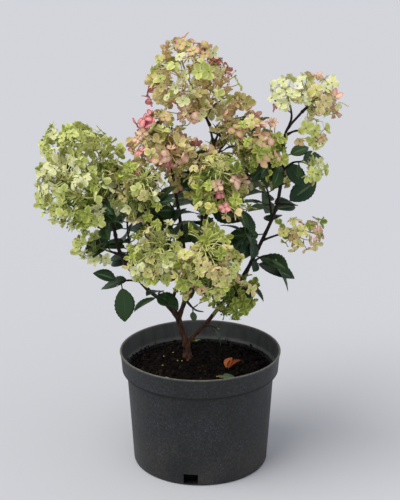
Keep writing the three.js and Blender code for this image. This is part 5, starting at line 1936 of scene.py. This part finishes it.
# %% Fallen leaves, seedling and chip
# In the order of the leaves' finishes: three upper sides, the underside and the rib. The rest follow.
litter_finishes = [
    # The second brown is a painted highlight, a lighter copy of the dead leaf's brown for its lit lobe.
    plain_finish("dead_leaf", (140, 66, 32), 0.55), plain_finish("dead_leaf_painted_light", (196, 112, 64), 0.6),
    plain_finish("dropped_leaf", (78, 100, 68), 0.6), plain_finish("dead_leaf_under", (112, 52, 30), 0.7),
    plain_finish("dead_leaf_rib", (206, 140, 84), 0.6), plain_finish("seedling", (74, 140, 56), 0.45),
    plain_finish("chip", (214, 202, 176), 0.6), plain_finish("shed_bud", (178, 184, 96), 0.6),
]
SEEDLING, CHIP, SHED_BUD = 5, 6, 7
LITTER_SEED = 8
litter_pile = Pile()
draw = np.random.default_rng(LITTER_SEED)


def on_soil(places, lift):
    """Places on the compost's surface, lifted by some millimetres."""
    places = np.array(places, float)
    return np.stack([places[:, 0], places[:, 1], soil_height(places[:, 0], places[:, 1]) + lift], axis=1)


def add_fallen(places, lift, along, lengths, finish, **shape):
    """Leaves that lie or stand on the compost, with their faces up."""
    along = unit(np.array(along))
    faces_up = UP - along * along[:, 2:]
    finishes = np.full(len(places), finish)
    feet = on_soil(places, lift)
    add_leaves(litter_pile, feet, faces_up, along, np.array(lengths), finishes, draw, **shape)


def add_bits(places, lift, radii, finish):
    """Beads on the compost, with three radii."""
    points = on_soil(places, lift)[:, None] + BEAD * radii
    litter_pile.add(points, [copies(BEAD_FACES, len(places), len(BEAD))], finish)


# The two lobes of the curled leaf, and the dropped one: place, direction, length, droop, fold and finish.
FALLEN_LEAVES = [
    ((44, -26), (1.0, 0.35, 0.25), 25, -0.35, 0.95, 0),
    # This lobe takes the painted highlight.
    ((42, -20), (0.5, 0.9, 0.75), 19, -0.1, 0.8, 1),
    ((27, -57), (1.0, -0.1, 0.02), 32, 0.05, 0.12, 2),
]
for place, direction, length, droop, fold, finish in FALLEN_LEAVES:
    add_fallen([place], 3.2, [direction], [length], finish, droop=droop, fold=fold, width=0.72, stalk=2)
SEEDLING_PLACE = (-7, 104)
SEEDLING_LEAVES = [(-0.9, -0.3, 0.3), (0.8, 0.2, 0.45), (0.1, 0.9, 0.5)]
add_fallen([SEEDLING_PLACE] * 3, 5, SEEDLING_LEAVES, [9.0, 8.0, 6.0], SEEDLING, width=0.6, stalk=1.5)
SHED_BUDS = [(-61, -15), (-37, 1), (-30, 6), (-60, 22), (-45, 39)]
add_bits(SHED_BUDS, 2.4, [1.6, 1.2, 1.0], SHED_BUD)
add_bits([(-54, -60)], 3.6, [7, 4.6, 2.6], CHIP)
litter_pile.piece("fallen_bits", litter_finishes, "foliage", [])

# %% [markdown]
# ## The floor and the last measure
# The floor is pale and plain. The last cell prints the box of the dressed plant beside that of the plain
# model.

# %% Floor and sizes
floor.data.materials.append(plain_finish("pale_floor", (203, 204, 208), 0.9, 0.1))

looks_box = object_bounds()
boxes = {"cad": [list(corner) for corner in cad_box], "visual": [list(corner) for corner in looks_box]}
for name, box in boxes.items():
    print(name, [[round(v, 4) for v in corner] for corner in box])
in_view = [item for item in bpy.data.objects if item.type == "MESH" and not item.hide_render]
print(sum(len(item.data.polygons) for item in in_view), "faces in view")
